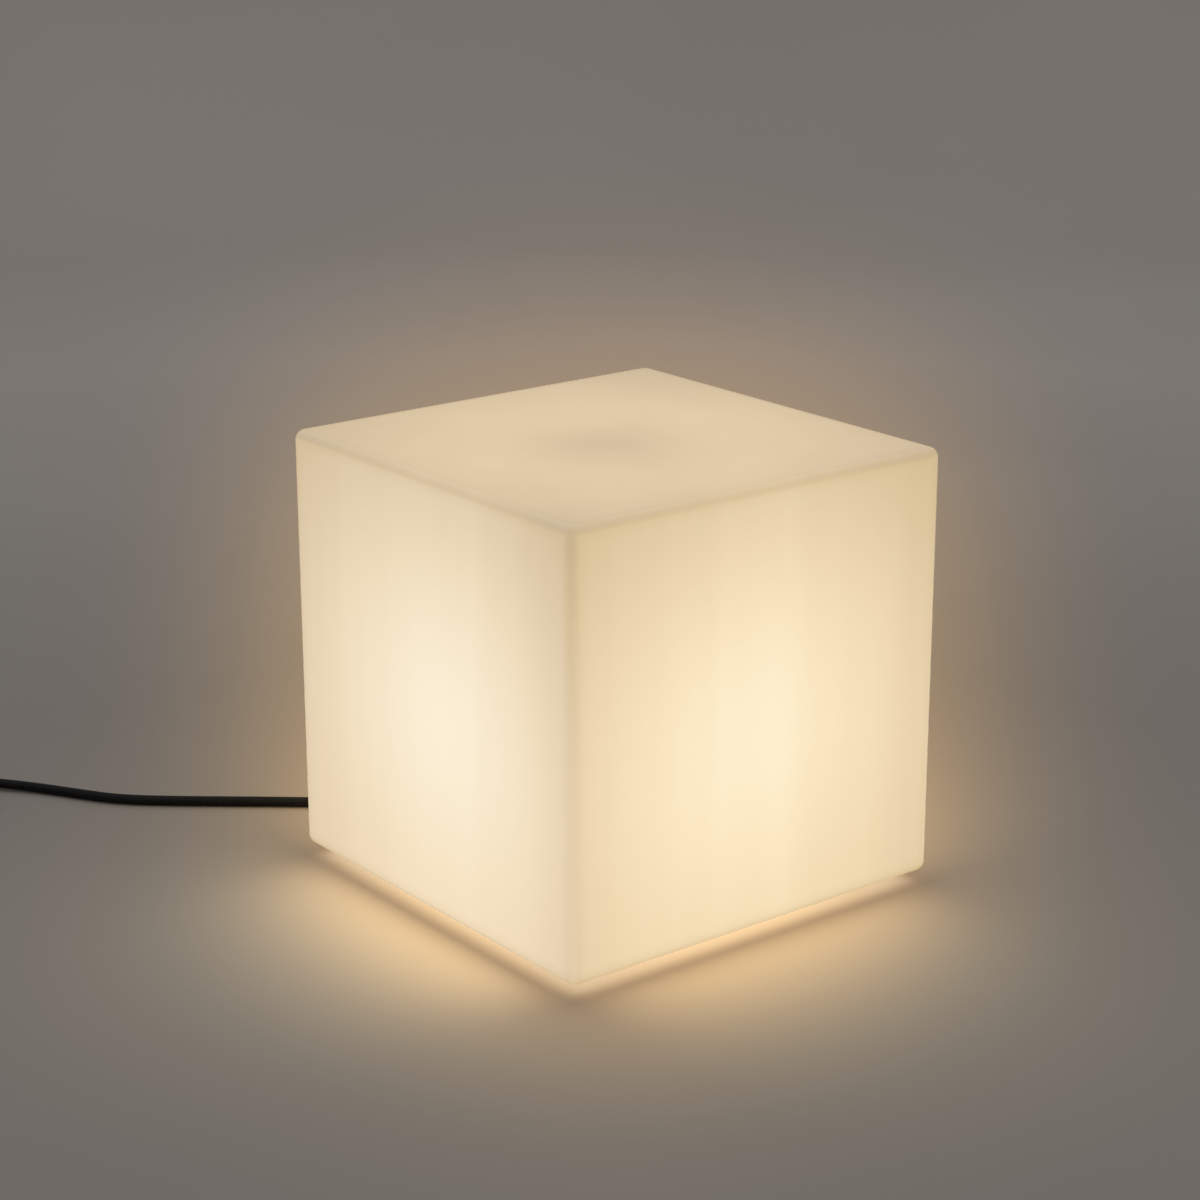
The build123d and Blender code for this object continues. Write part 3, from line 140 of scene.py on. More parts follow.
def coil_points(turns):
    """Spiral points: radius = inner + pitch x |turn|, angle = start + 360 degrees x turn; the height
    goes from the lower layer to the upper along a half cosine about turn 0."""
    radius = coil_inner_radius + coil_pitch * np.abs(turns)
    angle = np.radians(start_angle) + 2 * np.pi * (turns + half_turns)
    climb = np.clip(turns / coil_climb_turns + 0.5, 0, 1) * np.pi
    return np.stack([
        coil_centre[0] + radius * np.cos(angle),
        coil_centre[1] + radius * np.sin(angle),
        coil_lower + coil_layer / 2 * (1 - np.cos(climb)),
    ], axis=1)


turn_count = int(round(2 * half_turns * coil_points_per_turn))
spiral = coil_points(np.linspace(-half_turns, half_turns, turn_count + 1))
heading = math.radians(coil_heading_in)
start_way = np.array([math.cos(heading), math.sin(heading), 0.0])
end_way = np.array([0.0, -1.0, 0.0])
before_coil = spiral[0] - start_way * coil_last_run
after_coil = spiral[-1] + end_way * coil_tail_lead
cord_line = np.vstack([route, before_coil, spiral, after_coil]) / 1000.0
print(f"{len(cord_line)} control points, coil of {2 * half_turns:.2f} turns")

# %% Cord as a smooth spline with a round section
cord_curve = bpy.data.curves.new("cord_sheath", "CURVE")
cord_curve.dimensions = "3D"
spline = cord_curve.splines.new("NURBS")
spline.points.add(len(cord_line) - 1)
spline.points.foreach_set("co", np.column_stack([cord_line, np.ones(len(cord_line))]).ravel())
spline.points.foreach_set("radius", np.full(len(cord_line), cord_radius / 1000.0))
spline.order_u = 3
spline.use_endpoint_u = True
spline.resolution_u = 8
cord_curve.bevel_depth = 1.0
cord_curve.bevel_resolution = 5
cord_curve.use_fill_caps = True
cord_sheath = bpy.data.objects.new("cord_sheath", cord_curve)
bpy.context.scene.collection.objects.link(cord_sheath)
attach(cord_sheath, "lamp_carrier")
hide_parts("cord", "cord_coil")

# %% [markdown]
# ## Three helpers
# Colours are picked as sRGB hex values, the way a paint chart gives them, while shaders want linear
# light. One function turns the first into the second. The next adds a node and fills its sockets, so
# a material reads as a list of what it is made of, and the last starts an empty material.


# %% Linear colour, one node and an empty material
def linear(hex_colour):
    """sRGB hex to linear: below 0.04045 a value is divided by 12.92, and above it is raised to 2.4
    after the offset of 0.055 is taken out."""
    values = np.array([int(hex_colour[i:i + 2], 16) / 255 for i in (0, 2, 4)])
    low = values / 12.92
    high = ((values + 0.055) / 1.055) ** 2.4
    return (*np.where(values <= 0.04045, low, high).tolist(), 1.0)


def add(tree, kind, *inputs, named=None, **settings):
    """One node with its settings. Inputs fill the sockets in order and `named` by name; each is a
    value, a socket, or a node that stands for its first output."""
    node = tree.nodes.new(kind)
    for key, value in settings.items():
        setattr(node, key, value)
    for key, value in [*enumerate(inputs), *(named or {}).items()]:
        if value is None:
            continue
        if isinstance(value, bpy.types.Node):
            value = value.outputs[0]
        if isinstance(value, bpy.types.NodeSocket):
            tree.links.new(value, node.inputs[key])
        else:
            node.inputs[key].default_value = value
    return node


def new_material(name):
    """An empty material with its tree, a Principled surface and its output."""
    material = bpy.data.materials.new(name)
    material.use_nodes = True
    tree = material.node_tree
    tree.nodes.clear()
    surface = add(tree, "ShaderNodeBsdfPrincipled")
    add(tree, "ShaderNodeOutputMaterial", surface)
    return material, tree, surface


print("sRGB 808080 is", round(linear("808080")[0], 3), "in linear light")

# %% [markdown]
# ## Floor and backdrop
# The lamp stands on a pale studio sweep: the floor runs out, turns up in a wide curve and goes on as
# a wall, all the way round, so the lamp can be looked at from any side.

# %% Sweep as a profile turned round the vertical
sweep_flat = 2.3
sweep_curve = 0.9
sweep_wall = 0.9
floor_level = -0.0004
curve_points = 25
round_steps = 96


def turned(profile, steps):
    """Surface of revolution: each profile point (r, z) goes round the vertical in equal steps, and
    each four neighbours on the grid make a face."""
    r, z = np.asarray(profile).T
    angle = np.arange(steps) * 2 * np.pi / steps
    points = np.stack([
        np.outer(r, np.cos(angle)), np.outer(r, np.sin(angle)), np.repeat(z[:, None], steps, axis=1)
    ], axis=-1).reshape(-1, 3)
    row, column = np.meshgrid(np.arange(len(r) - 1), np.arange(steps), indexing="ij")
    after = (column + 1) % steps
    faces = np.stack([
        row * steps + column, (row + 1) * steps + column, (row + 1) * steps + after, row * steps + after
    ], axis=-1).reshape(-1, 4)
    return points, faces


quarter = np.linspace(0, np.pi / 2, curve_points)
flat_part = [(r, 0.0) for r in (0.001, 0.2, 0.4, 0.8, 1.2, 1.8)]
curve_part = [
    (sweep_flat + sweep_curve * math.sin(a), sweep_curve * (1 - math.cos(a))) for a in quarter
]
wall_part = [(sweep_flat + sweep_curve, sweep_curve + sweep_wall)]
profile = np.array(flat_part + curve_part + wall_part) + (0.0, floor_level)
points, faces = turned(profile, round_steps)
sweep_mesh = bpy.data.meshes.new("studio_sweep")
sweep_mesh.from_pydata(points.tolist(), [], faces.tolist())
sweep_mesh.polygons.foreach_set("use_smooth", [True] * len(faces))
sweep = bpy.data.objects.new("studio_sweep", sweep_mesh)
bpy.context.scene.collection.objects.link(sweep)
print(f"sweep of {sweep_flat + sweep_curve:.1f} m radius")

# %% [markdown]
# Matt wall paint has hardly any shine, and its tone wanders a little from one stroke to the next. The floor
# round the lamp is less bright than the backdrop far behind it, and that is painted shade: the paint's tone
# falls to two thirds within half a metre of the lamp.

# %% Matt paint on the sweep, with painted shade round the lamp
sweep_paint_and_shade, tree, surface = new_material("matt_studio_paint_with_painted_shade")
near_radius, far_radius = 0.5, 1.6
near_shade_factor = 0.66
cloud_scale = 1.3
place = add(tree, "ShaderNodeTexCoord").outputs["Object"]
cloud = add(tree, "ShaderNodeTexNoise", named={"Vector": place, "Scale": cloud_scale, "Detail": 2.0})
tone = add(tree, "ShaderNodeValToRGB", cloud)
tone.color_ramp.elements[0].color = linear("b9b1a9")
tone.color_ramp.elements[1].color = linear("c4bdb5")
along_floor = add(tree, "ShaderNodeVectorMath", place, (1.0, 1.0, 0.0), operation="MULTIPLY")
from_lamp = add(tree, "ShaderNodeVectorMath", along_floor, operation="LENGTH").outputs["Value"]
# painted shade: close to the lamp the floor's colour falls to two thirds of the paint's tone
floor_painted_shade = add(tree, "ShaderNodeMapRange", from_lamp, near_radius, far_radius, near_shade_factor, 1.0)
painted = add(tree, "ShaderNodeVectorMath", tone, floor_painted_shade, operation="MULTIPLY")
tree.links.new(painted.outputs[0], surface.inputs["Base Color"])
surface.inputs["Roughness"].default_value = 0.75
surface.inputs["Specular IOR Level"].default_value = 0.15
sweep.data.materials.append(sweep_paint_and_shade)
print(f"paint of {near_shade_factor:.2f} of its tone within {near_radius} m")

# %% [markdown]
# ## Studio light
# The room is dim and even, so that the lamp does most of the work. A grey world alone lights it, which
# is softer than any panel and gives the cord only a faint shadow.

# %% Grey world, and a function for rectangular panels
room_strength = 1.12
world = bpy.data.worlds.new("studio")
bpy.context.scene.world = world
world.use_nodes = True
room = world.node_tree.nodes["Background"]
room.inputs["Color"].default_value = linear("b0b2b6")
room.inputs["Strength"].default_value = room_strength


def panel(name, size, place, turn, colour, watts):
    """A rectangular area light that shines along its own -Z and isn't seen itself."""
    light = bpy.data.lights.new(name, "AREA")
    light.shape = "RECTANGLE"
    light.size, light.size_y = size
    light.color = linear(colour)[:3]
    light.energy = watts
    lamp = bpy.data.objects.new(name, light)
    lamp.location = place
    lamp.rotation_euler = turn
    lamp.visible_camera = False
    lamp.visible_glossy = False
    bpy.context.scene.collection.objects.link(lamp)
    return lamp


print(f"world light of strength {room_strength}")

# %% [markdown]
# The wall of the cube passes far more light than a picture can show: on the photograph its faces are
# near white while the floor beside them turns amber. Each side face therefore has a low warm panel on
# it that shines outwards, and one more under the base fills the gap below. They ride on the cube, so
# its light rises with it. The left side gives most, and the two sides away from the camera least,
# as the pools on the floor of the photograph do.

# %% Warm light from the four sides and from below
half_width = 0.150
glow_gap = 0.0015
glow_colour = "fff5d7"
glow_long, glow_high = 0.24, 0.11
glow_height = 0.077
quarter_turn = math.pi / 2
outside = half_width + glow_gap
upright, level = (glow_high, glow_long), (glow_long, glow_high)
base_colour = "eaf8ff"
base_side = 0.285
base_height = 0.0075
glows = [
    panel("glow_left", upright, (-outside, 0, glow_height), (0, quarter_turn, 0), glow_colour, 0.215),
    panel("glow_front", level, (0, -outside, glow_height), (-quarter_turn, 0, 0), glow_colour, 0.148),
    panel("glow_right", upright, (outside, 0, glow_height), (0, -quarter_turn, 0), glow_colour, 0.060),
    panel("glow_rear", level, (0, outside, glow_height), (quarter_turn, 0, 0), glow_colour, 0.060),
    panel("glow_base", (base_side, base_side), (0, 0, base_height), (0, 0, 0), base_colour, 0.22),
]
for glow_panel in glows:
    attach(glow_panel, "diffuser")
print(f"{len(glows)} panels, {sum(light.data.energy for light in glows):.2f} W together")

# %% [markdown]
# ## Lit polyethylene
# The cube is rotation-moulded polyethylene, 3.5 mm thick and milky. A bulb at its middle lights it from
# inside, so each wall is brightest level with the bulb and fades a little less than the cosine of the
# angle at which its light arrives. Right above the bulb, its end cap throws a wide, soft, dark spot.
# Where two walls meet, the plastic is seen thicker and greyer. That could be left to real light
# through a real thickness, but it would take minutes to settle, so the glow is worked out from the
# place of each point instead, and it is the same from every side.

# %% Where each point of the wall is
lamp_centre = (-0.0115, -0.0122, 0.151)
body_half = (0.150, 0.150, 0.146)
body_middle = (0.0, 0.0, 0.154)
face_begins, face_whole = 0.955, 0.985
least_upright = 0.02
smooth = {"interpolation_type": "SMOOTHSTEP"}

lit_wall, tree, surface = new_material("rotation_moulded_polyethylene_lit")
place = add(tree, "ShaderNodeTexCoord").outputs["Object"]
from_middle = add(tree, "ShaderNodeVectorMath", place, body_middle, operation="SUBTRACT")
share = add(tree, "ShaderNodeVectorMath", from_middle, body_half, operation="DIVIDE")
upward = add(tree, "ShaderNodeSeparateXYZ", share).outputs["Z"]
share = add(tree, "ShaderNodeVectorMath", share, operation="ABSOLUTE")
share_x, share_y, share_z = add(tree, "ShaderNodeSeparateXYZ", share).outputs

# weights that tell which face a point is on: the share of the way out goes to 1 there, and the
# upright one keeps a little everywhere, so that their sum is never nothing
on_face = [
    add(tree, "ShaderNodeMapRange", way_out, face_begins, face_whole, least, 1.0, **smooth)
    for way_out, least in ((share_x, 0.0), (share_y, 0.0), (share_z, least_upright))
]
on_side = add(tree, "ShaderNodeMath", on_face[0], on_face[1], operation="ADD")
on_any = add(tree, "ShaderNodeMath", on_side, on_face[2], operation="ADD")
print(f"{len(tree.nodes)} nodes find the face")

# %% Light of the bulb on the wall
cosine_power = 0.81
ray = add(tree, "ShaderNodeVectorMath", place, lamp_centre, operation="SUBTRACT")
ray_length = add(tree, "ShaderNodeVectorMath", ray, operation="LENGTH").outputs["Value"]
ray_size = add(tree, "ShaderNodeVectorMath", ray, operation="ABSOLUTE")
ray_x, ray_y, ray_z = add(tree, "ShaderNodeSeparateXYZ", ray_size).outputs

# cosine at which it arrives: the distance of the wall over the length of the ray
along = add(tree, "ShaderNodeMath", on_face[0], ray_x, operation="MULTIPLY")
along = add(tree, "ShaderNodeMath", on_face[1], ray_y, along, operation="MULTIPLY_ADD")
along = add(tree, "ShaderNodeMath", on_face[2], ray_z, along, operation="MULTIPLY_ADD")
along = add(tree, "ShaderNodeMath", along, on_any, operation="DIVIDE")
cosine = add(tree, "ShaderNodeMath", along, ray_length, operation="DIVIDE")
direct = add(tree, "ShaderNodeMath", cosine, cosine_power, operation="POWER")
print(f"light falls with the cosine to the power of {cosine_power}")

# %% Shadow of the end cap, and painted bands of light from the LED columns
# the sine of the ray to the upright is small above the cap
shadow_sine = 0.68
shadow_least = 0.70
sideways = add(tree, "ShaderNodeVectorMath", ray, (1.0, 1.0, 0.0), operation="MULTIPLY")
sideways = add(tree, "ShaderNodeVectorMath", sideways, operation="LENGTH").outputs["Value"]
sine = add(tree, "ShaderNodeMath", sideways, ray_length, operation="DIVIDE")
cap_shadow = add(tree, "ShaderNodeMapRange", sine, 0.0, shadow_sine, shadow_least, 1.0, **smooth)
lit = add(tree, "ShaderNodeMath", direct, cap_shadow, operation="MULTIPLY")

# faint upright bands of painted light and shade about 4 cm wide, as the bulb's columns of LEDs throw them on
# the wall
bands_per_metre = 26.0
band_depth = 0.025
upright_stretch = (1.0, 1.0, 0.06)
stretched = add(tree, "ShaderNodeVectorMath", place, upright_stretch, operation="MULTIPLY")
led_band_noise = add(tree, "ShaderNodeTexNoise", named={"Vector": stretched, "Scale": bands_per_metre, "Detail": 2.0})
bands = add(tree, "ShaderNodeMapRange", led_band_noise, 0.3, 0.7, 1.0 - band_depth, 1.0 + band_depth)
lit = add(tree, "ShaderNodeMath", lit, bands, operation="MULTIPLY")
print(f"end cap leaves {shadow_least:.2f} of the light right above it")

# %% How much of the bulb's light each wall shows
# the top gets less of the bulb's light than the sides, as the bulb's LEDs face sideways and its end plate
# shades the top: painted shade. Light that comes back from the base reaches the lower part of the sides
side_gain = 0.778
top_gain = 0.515
base_return = 0.047
gain = add(tree, "ShaderNodeMath", on_face[2], top_gain, operation="MULTIPLY")
gain = add(tree, "ShaderNodeMath", on_side, side_gain, gain, operation="MULTIPLY_ADD")
gain = add(tree, "ShaderNodeMath", gain, on_any, operation="DIVIDE")
glow = add(tree, "ShaderNodeMath", lit, gain, operation="MULTIPLY")
side_height = add(tree, "ShaderNodeMath", upward, on_side, operation="MULTIPLY")
glow = add(tree, "ShaderNodeMath", side_height, -base_return, glow, operation="MULTIPLY_ADD")
print(f"sides pass {side_gain:.2f} and the top {top_gain:.2f}")

# %% Edges, where the wall is seen thicker
# the middle one of the three shares is near 1 on an edge; the lower edge has a thin line instead
edge_begins, edge_whole = 0.915, 0.99
edge_least = 0.905
line_height, line_half = 0.0145, 0.005
line_least = 0.935
share_up = add(tree, "ShaderNodeMath", upward, 0.0, operation="MAXIMUM")
low_xy = add(tree, "ShaderNodeMath", share_x, share_y, operation="MINIMUM")
high_xy = add(tree, "ShaderNodeMath", share_x, share_y, operation="MAXIMUM")
mid_z = add(tree, "ShaderNodeMath", high_xy, share_up, operation="MINIMUM")
middle_share = add(tree, "ShaderNodeMath", low_xy, mid_z, operation="MAXIMUM")
edge = add(tree, "ShaderNodeMapRange", middle_share, edge_begins, edge_whole, 1.0, edge_least, **smooth)
glow = add(tree, "ShaderNodeMath", glow, edge, operation="MULTIPLY")
height = add(tree, "ShaderNodeSeparateXYZ", place).outputs["Z"]
from_line = add(tree, "ShaderNodeMath", height, line_height, operation="SUBTRACT")
from_line = add(tree, "ShaderNodeMath", from_line, operation="ABSOLUTE")
lower_line = add(tree, "ShaderNodeMapRange", from_line, 0.0, line_half, line_least, 1.0, **smooth)
glow = add(tree, "ShaderNodeMath", glow, lower_line, operation="MULTIPLY")
print(f"edges keep {edge_least:.2f} of the light")

# %% Colour by brightness
# less light means light that went through more plastic, which takes out blue first and green next;
# each stop stands at the linear green of its own colour
stops = ["ab9570", "c5ad84", "d5c09c", "e0cba7", "ead8b6", "f3e7cb"]
stop_places = [0.30, 0.42, 0.53, 0.60, 0.69, 0.80]
tone = add(tree, "ShaderNodeValToRGB", glow)
ramp = tone.color_ramp
for at in stop_places[1:-1]:
    ramp.elements.new(at)
ramp.elements[0].position, ramp.elements[-1].position = stop_places[0], stop_places[-1]
for stop, colour in zip(ramp.elements, stops):
    stop.color = linear(colour)

# the glow of the two walls facing X is painted a touch less yellow than that of the two facing Y
x_wall_tint = (-0.017, 0.0, 0.052)
untinted = (1.0, 1.0, 1.0)
x_over_y_walls = add(tree, "ShaderNodeMath", on_face[0], on_face[1], operation="SUBTRACT")
tint = add(tree, "ShaderNodeVectorMath", x_over_y_walls, x_wall_tint, untinted, operation="MULTIPLY_ADD")
wall_light = add(tree, "ShaderNodeVectorMath", tone, tint, operation="MULTIPLY")

# the rounded lower rim carries the light that runs down inside the wall, and it is yellower
rim_top, rim_bottom = 0.0165, 0.0085
rim_yellow = (0.02, -0.02, -0.06)
rim = add(tree, "ShaderNodeMapRange", height, rim_top, rim_bottom, 0.0, 1.0, **smooth)
rim_tint = add(tree, "ShaderNodeVectorMath", rim, rim_yellow, untinted, operation="MULTIPLY_ADD")
wall_light = add(tree, "ShaderNodeVectorMath", wall_light, rim_tint, operation="MULTIPLY")
tree.links.new(wall_light.outputs[0], surface.inputs["Emission Color"])
surface.inputs["Emission Strength"].default_value = 1.0
print(f"{len(ramp.elements)} stops from {stops[0]} to {stops[-1]}")

# %% Satin skin of the moulding
# a fine cast grain, 2.4 mm from crest to crest, makes the skin satin
grain_mm = 2.4
surface.inputs["Base Color"].default_value = linear("a9a297")
surface.inputs["IOR"].default_value = 1.51
grain = add(tree, "ShaderNodeTexNoise", named={"Vector": place, "Scale": 1000 / grain_mm, "Detail": 3.0})
satin = add(tree, "ShaderNodeMapRange", grain, 0.3, 0.7, 0.42, 0.50)
tree.links.new(satin.outputs[0], surface.inputs["Roughness"])
relief = add(tree, "ShaderNodeBump", named={"Height": grain, "Strength": 0.12, "Distance": 0.0003})
tree.links.new(relief.outputs[0], surface.inputs["Normal"])
lit_wall.cycles.emission_sampling = "FRONT"
print(f"lit wall of {len(tree.nodes)} nodes")

# %% [markdown]
# ## Moulded and drawn materials
# Everything under the cube is bought-in hardware. Plastics and rubbers come from a mould, so they
# have a fine even grain and a colour that wanders a little. Metals were turned, drawn or stamped, so
# their marks run along one direction.


# %% One function for moulded surfaces and one for worked metal
def moulded(name, colour, deep_colour, roughness, grain_mm, relief_mm, specular=0.5):
    """Moulded plastic, rubber or ceramic: two close tones mixed by slow noise, and a grain of the
    given size whose height is the relief."""
    material, tree, surface = new_material(name)
    place = add(tree, "ShaderNodeTexCoord").outputs["Object"]
    slow_mm = grain_mm * 14
    slow = add(tree, "ShaderNodeTexNoise", named={"Vector": place, "Scale": 1000 / slow_mm, "Detail": 2.0})
    tone = add(tree, "ShaderNodeValToRGB", slow)
    tone.color_ramp.elements[0].position = 0.35
    tone.color_ramp.elements[0].color = linear(deep_colour)
    tone.color_ramp.elements[1].position = 0.65
    tone.color_ramp.elements[1].color = linear(colour)
    tree.links.new(tone.outputs[0], surface.inputs["Base Color"])
    grain = add(tree, "ShaderNodeTexNoise", named={"Vector": place, "Scale": 1000 / grain_mm, "Detail": 3.0})
    sheen = add(tree, "ShaderNodeMapRange", grain, 0.3, 0.7, roughness - 0.05, roughness + 0.05)
    tree.links.new(sheen.outputs[0], surface.inputs["Roughness"])
    relief = add(
        tree, "ShaderNodeBump", named={"Height": grain, "Strength": 0.5, "Distance": relief_mm / 1000}
    )
    tree.links.new(relief.outputs[0], surface.inputs["Normal"])
    surface.inputs["Specular IOR Level"].default_value = specular
    return material


def worked_metal(name, colour, deep_colour, roughness, mark_mm, stretch):
    """Turned, drawn or stamped metal: noise drawn out by `stretch` along each axis gives the marks,
    which change both the tone and the roughness."""
    material, tree, surface = new_material(name)
    place = add(tree, "ShaderNodeTexCoord").outputs["Object"]
    drawn = add(tree, "ShaderNodeMapping", place, named={"Scale": stretch})
    marks = add(tree, "ShaderNodeTexNoise", named={"Vector": drawn, "Scale": 1000 / mark_mm, "Detail": 4.0})
    tone = add(tree, "ShaderNodeValToRGB", marks)
    tone.color_ramp.elements[0].position = 0.3
    tone.color_ramp.elements[0].color = linear(deep_colour)
    tone.color_ramp.elements[1].position = 0.7
    tone.color_ramp.elements[1].color = linear(colour)
    tree.links.new(tone.outputs[0], surface.inputs["Base Color"])
    sheen = add(tree, "ShaderNodeMapRange", marks, 0.3, 0.7, roughness + 0.08, roughness - 0.06)
    tree.links.new(sheen.outputs[0], surface.inputs["Roughness"])
    relief = add(tree, "ShaderNodeBump", named={"Height": marks, "Strength": 0.25, "Distance": 0.00008})
    tree.links.new(relief.outputs[0], surface.inputs["Normal"])
    surface.inputs["Metallic"].default_value = 1.0
    return material


# %% Rubbers and plastics
finishes = {
    # moulded rubber feet: matt and a little dusty, so more brown than black
    "foot_rubber": moulded("moulded_black_rubber_foot", "2b2a28", "201f1e", 0.72, 0.8, 0.05, 0.3),
    # closed-cell foam: fine pores and no shine
    "seal_foam": moulded("closed_cell_foam_rubber", "3c3c3b", "2a2a2a", 0.9, 0.6, 0.12, 0.2),
    # extruded sheath: deep black, with a soft line of light along its top
    "cord_rubber": moulded("extruded_black_rubber_sheath", "0b0b0c", "070708", 0.62, 0.5, 0.02, 0.25),
    # moulded plug: black, with a broad sheen on its rounded shoulders
    "plug_rubber": moulded("moulded_black_rubber_plug", "121213", "0b0b0c", 0.55, 0.7, 0.04, 0.35),
    # injection-moulded polypropylene: warm white and satin
    "carrier_plastic": moulded("injection_moulded_white_polypropylene", "e9e6df", "dedad2", 0.5, 0.7, 0.03),
    # nylon: black with a waxy sheen
    "gland_nylon": moulded("moulded_black_nylon", "1f1f20", "161617", 0.45, 0.6, 0.03),
    # natural polyamide: ivory, a little waxy too
    "block_polyamide": moulded("moulded_natural_polyamide", "e2dfd5", "d3cfc3", 0.45, 0.6, 0.03),
    # lampholder: clean white with a clear highlight
    "holder_plastic": moulded("moulded_white_thermoplastic", "eeedea", "e3e1dc", 0.32, 0.7, 0.015),
    # fired ceramic: chalky white with fine pits
    "holder_ceramic": moulded("fired_white_ceramic", "ece8de", "ddd7ca", 0.6, 0.5, 0.05),
    # bulb housing: the whitest and smoothest of the plastics
    "bulb_plastic": moulded("moulded_white_bulb_housing", "f2f1ee", "e8e6e1", 0.3, 0.8, 0.012),
    # vitreous insulator: glassy black
    "cap_insulation": moulded("black_vitreous_insulator", "151516", "0d0d0e", 0.18, 0.9, 0.01),
    # insulation of the two cores: plain colours with a smooth skin
    "core_brown": moulded("brown_core_insulation", "6f4325", "5a351c", 0.4, 0.6, 0.01),
    "core_blue": moulded("blue_core_insulation", "2f6fae", "265c93", 0.4, 0.6, 0.01),
    # components of the driver: black and satin
    "component_black": moulded("black_moulded_components", "1c1c1e", "131314", 0.4, 0.5, 0.02),
    # coated laminate of the driver board: glossy green
    "board_green": moulded("coated_glass_laminate", "2f5f41", "264f36", 0.35, 0.4, 0.01),
    # solder mask of the LED boards: even white with a soft sheen
    "board_white": moulded("white_solder_mask", "ebebe6", "dededa", 0.38, 0.4, 0.01),
    # woven tie: a coarse weave that takes the shine away
    "tie_nylon": moulded("woven_black_nylon_tie", "191919", "101010", 0.75, 1.1, 0.15, 0.25),
}
print(f"{len(finishes)} moulded finishes")

# %% Metals
finishes |= {
    # turned brass: yellow, with fine rings from the tool
    "insert_brass": worked_metal("turned_brass", "d0ab63", "b08c48", 0.3, 0.3, (1.0, 1.0, 6.0)),
    # stamped brass: duller, with marks along the strip
    "contact_brass": worked_metal("stamped_brass", "cda660", "ab8545", 0.34, 0.5, (1.0, 5.0, 1.0)),
    # zinc plate on screws: pale grey, with fine rings
    "screw_steel": worked_metal("zinc_plated_steel_screw", "c4c6c8", "9fa2a5", 0.36, 0.3, (1.0, 1.0, 5.0)),
    # zinc plate on sheet: greyer, with long rolling marks
    "bracket_steel": worked_metal("zinc_plated_sheet_steel", "b7babc", "96999c", 0.42, 0.8, (0.2, 1.0, 1.0)),
    # nickel plate on the cap: warm silver, bright on its thread
    "cap_nickel": worked_metal("nickel_plated_brass_cap", "cbc8bf", "aaa79d", 0.25, 0.4, (1.0, 1.0, 6.0)),
    # nickel plate on the pins: drawn, so its light runs along them
    "pin_nickel": worked_metal("nickel_plated_pin", "d3d1ca", "b3b1a9", 0.2, 0.4, (6.0, 1.0, 6.0)),
    # extruded aluminium: long fine lines from the die
    "column_aluminium": worked_metal("extruded_aluminium", "c3c5c7", "a2a5a7", 0.35, 0.5, (1.0, 1.0, 0.08)),
}
print(f"{len(finishes)} finishes with the metals")

# %% [markdown]
# The LED chips are small yellow blocks of phosphor under clear silicone. Here they are on, and shine
# as warm, nearly white squares with fine specks of phosphor in them.

# %% Lit chips
speck_mm = 0.5
chip, tree, surface = new_material("phosphor_under_silicone_lit")
place = add(tree, "ShaderNodeTexCoord").outputs["Object"]
speck = add(tree, "ShaderNodeTexNoise", named={"Vector": place, "Scale": 1000 / speck_mm, "Detail": 2.0})
tone = add(tree, "ShaderNodeValToRGB", speck)
tone.color_ramp.elements[0].color = linear("ffd084")
tone.color_ramp.elements[1].color = linear("ffe2aa")
tree.links.new(tone.outputs[0], surface.inputs["Emission Color"])
tree.links.new(tone.outputs[0], surface.inputs["Base Color"])
surface.inputs["Emission Strength"].default_value = 5.0
surface.inputs["Roughness"].default_value = 0.3
chip.cycles.emission_sampling = "NONE"
finishes["chip_phosphor"] = chip
finishes["lit_polyethylene"] = lit_wall

# %% Every piece gets the finish of its slot
slot_of = {part["node"]: part["material_slot"] for part in frame["record"]["subparts"]}
for name, piece in nodes.items():
    piece.data.materials.clear()
    piece.data.materials.append(finishes[slot_of[name]])
cord_curve.materials.append(finishes["cord_rubber"])
print(f"{len(nodes)} pieces dressed in {len(set(slot_of.values()))} finishes")

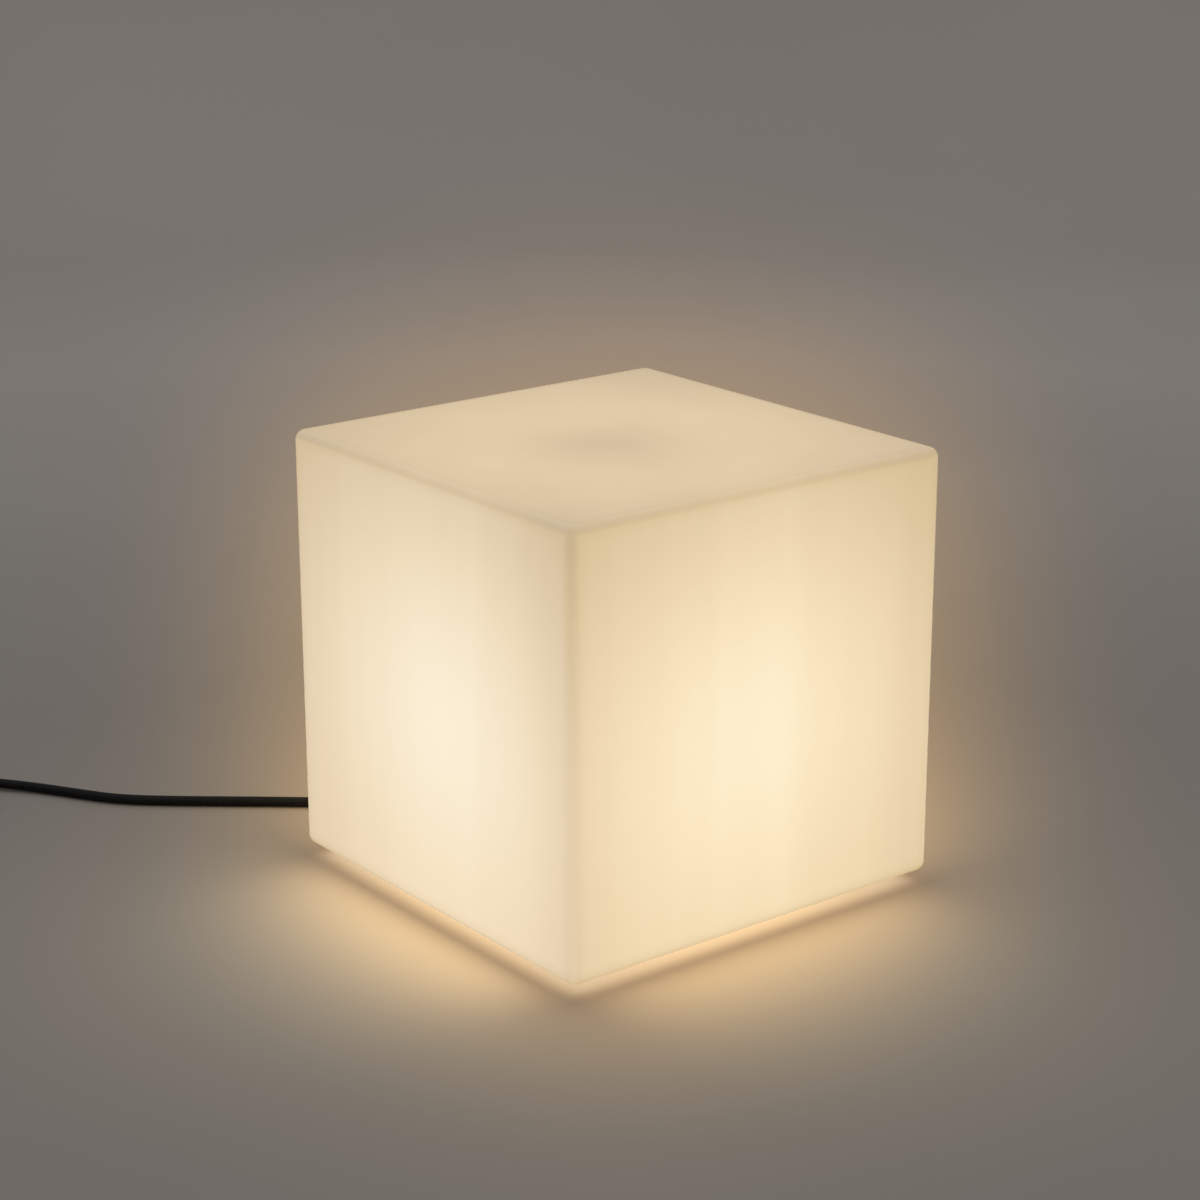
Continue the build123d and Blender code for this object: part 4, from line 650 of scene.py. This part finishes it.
# %% [markdown]
# ## View and glare
# The Standard view keeps the colours as they are mixed. A bright lamp scatters a little of its light in
# the lens, which shows as a warm veil round the cube. The emission pass holds the lamp's own light
# alone. Blurred widely and multiplied by the rest of the picture, it brightens the floor and the
# backdrop near the lamp and leaves a black cord black. Where the lamp itself is seen there is no veil,
# because its colours are already right.

# %% Plain view and a soft veil
veil_share = 0.275
veil_gain = (3.1, 2.4, 1.12, 1.0)
veil_whole, veil_none = 0.22, 0.30
nothing = (0.0, 0.0, 0.0, 1.0)
veil_fall = 1.0 / (veil_none - veil_whole)

scene = bpy.context.scene
scene.view_settings.view_transform = "Standard"
scene.view_settings.look = "None"
scene.view_layers[0].use_pass_emit = True
scene.use_nodes = True
tree = scene.node_tree
tree.nodes.clear()
layers = add(tree, "CompositorNodeRLayers")
picture = layers.outputs["Image"]
own_light = layers.outputs["Emit"]

# the blur's size is a share of the picture's width, so it is the same at every size
veil_size = add(
    tree, "CompositorNodeRelativeToPixel", data_type="VECTOR", reference_dimension="X",
    named={0: (veil_share, veil_share), "Image": picture},
)
scattered = add(tree, "CompositorNodeBlur", own_light, veil_size.outputs[1], filter_type="FAST_GAUSS")
veil = add(tree, "CompositorNodeMixRGB", 1.0, scattered, veil_gain, blend_type="MULTIPLY")
others = add(tree, "CompositorNodeMixRGB", 1.0, picture, own_light, blend_type="SUBTRACT", use_clamp=True)
veil = add(tree, "CompositorNodeMixRGB", 1.0, veil, others, blend_type="MULTIPLY")

# none of it where the lamp's own light is above veil_none, and all of it below veil_whole
own_share = add(tree, "CompositorNodeRGBToBW", own_light)
beside = add(
    tree, "CompositorNodeMath", own_share, -veil_fall, veil_none * veil_fall,
    operation="MULTIPLY_ADD", use_clamp=True,
)
veil = add(tree, "CompositorNodeMixRGB", beside, nothing, veil, blend_type="MIX")
finished = add(tree, "CompositorNodeMixRGB", 1.0, picture, veil, blend_type="ADD")
add(tree, "CompositorNodeComposite", finished)
print("view:", scene.view_settings.view_transform, "with a veil in", len(tree.nodes), "nodes")
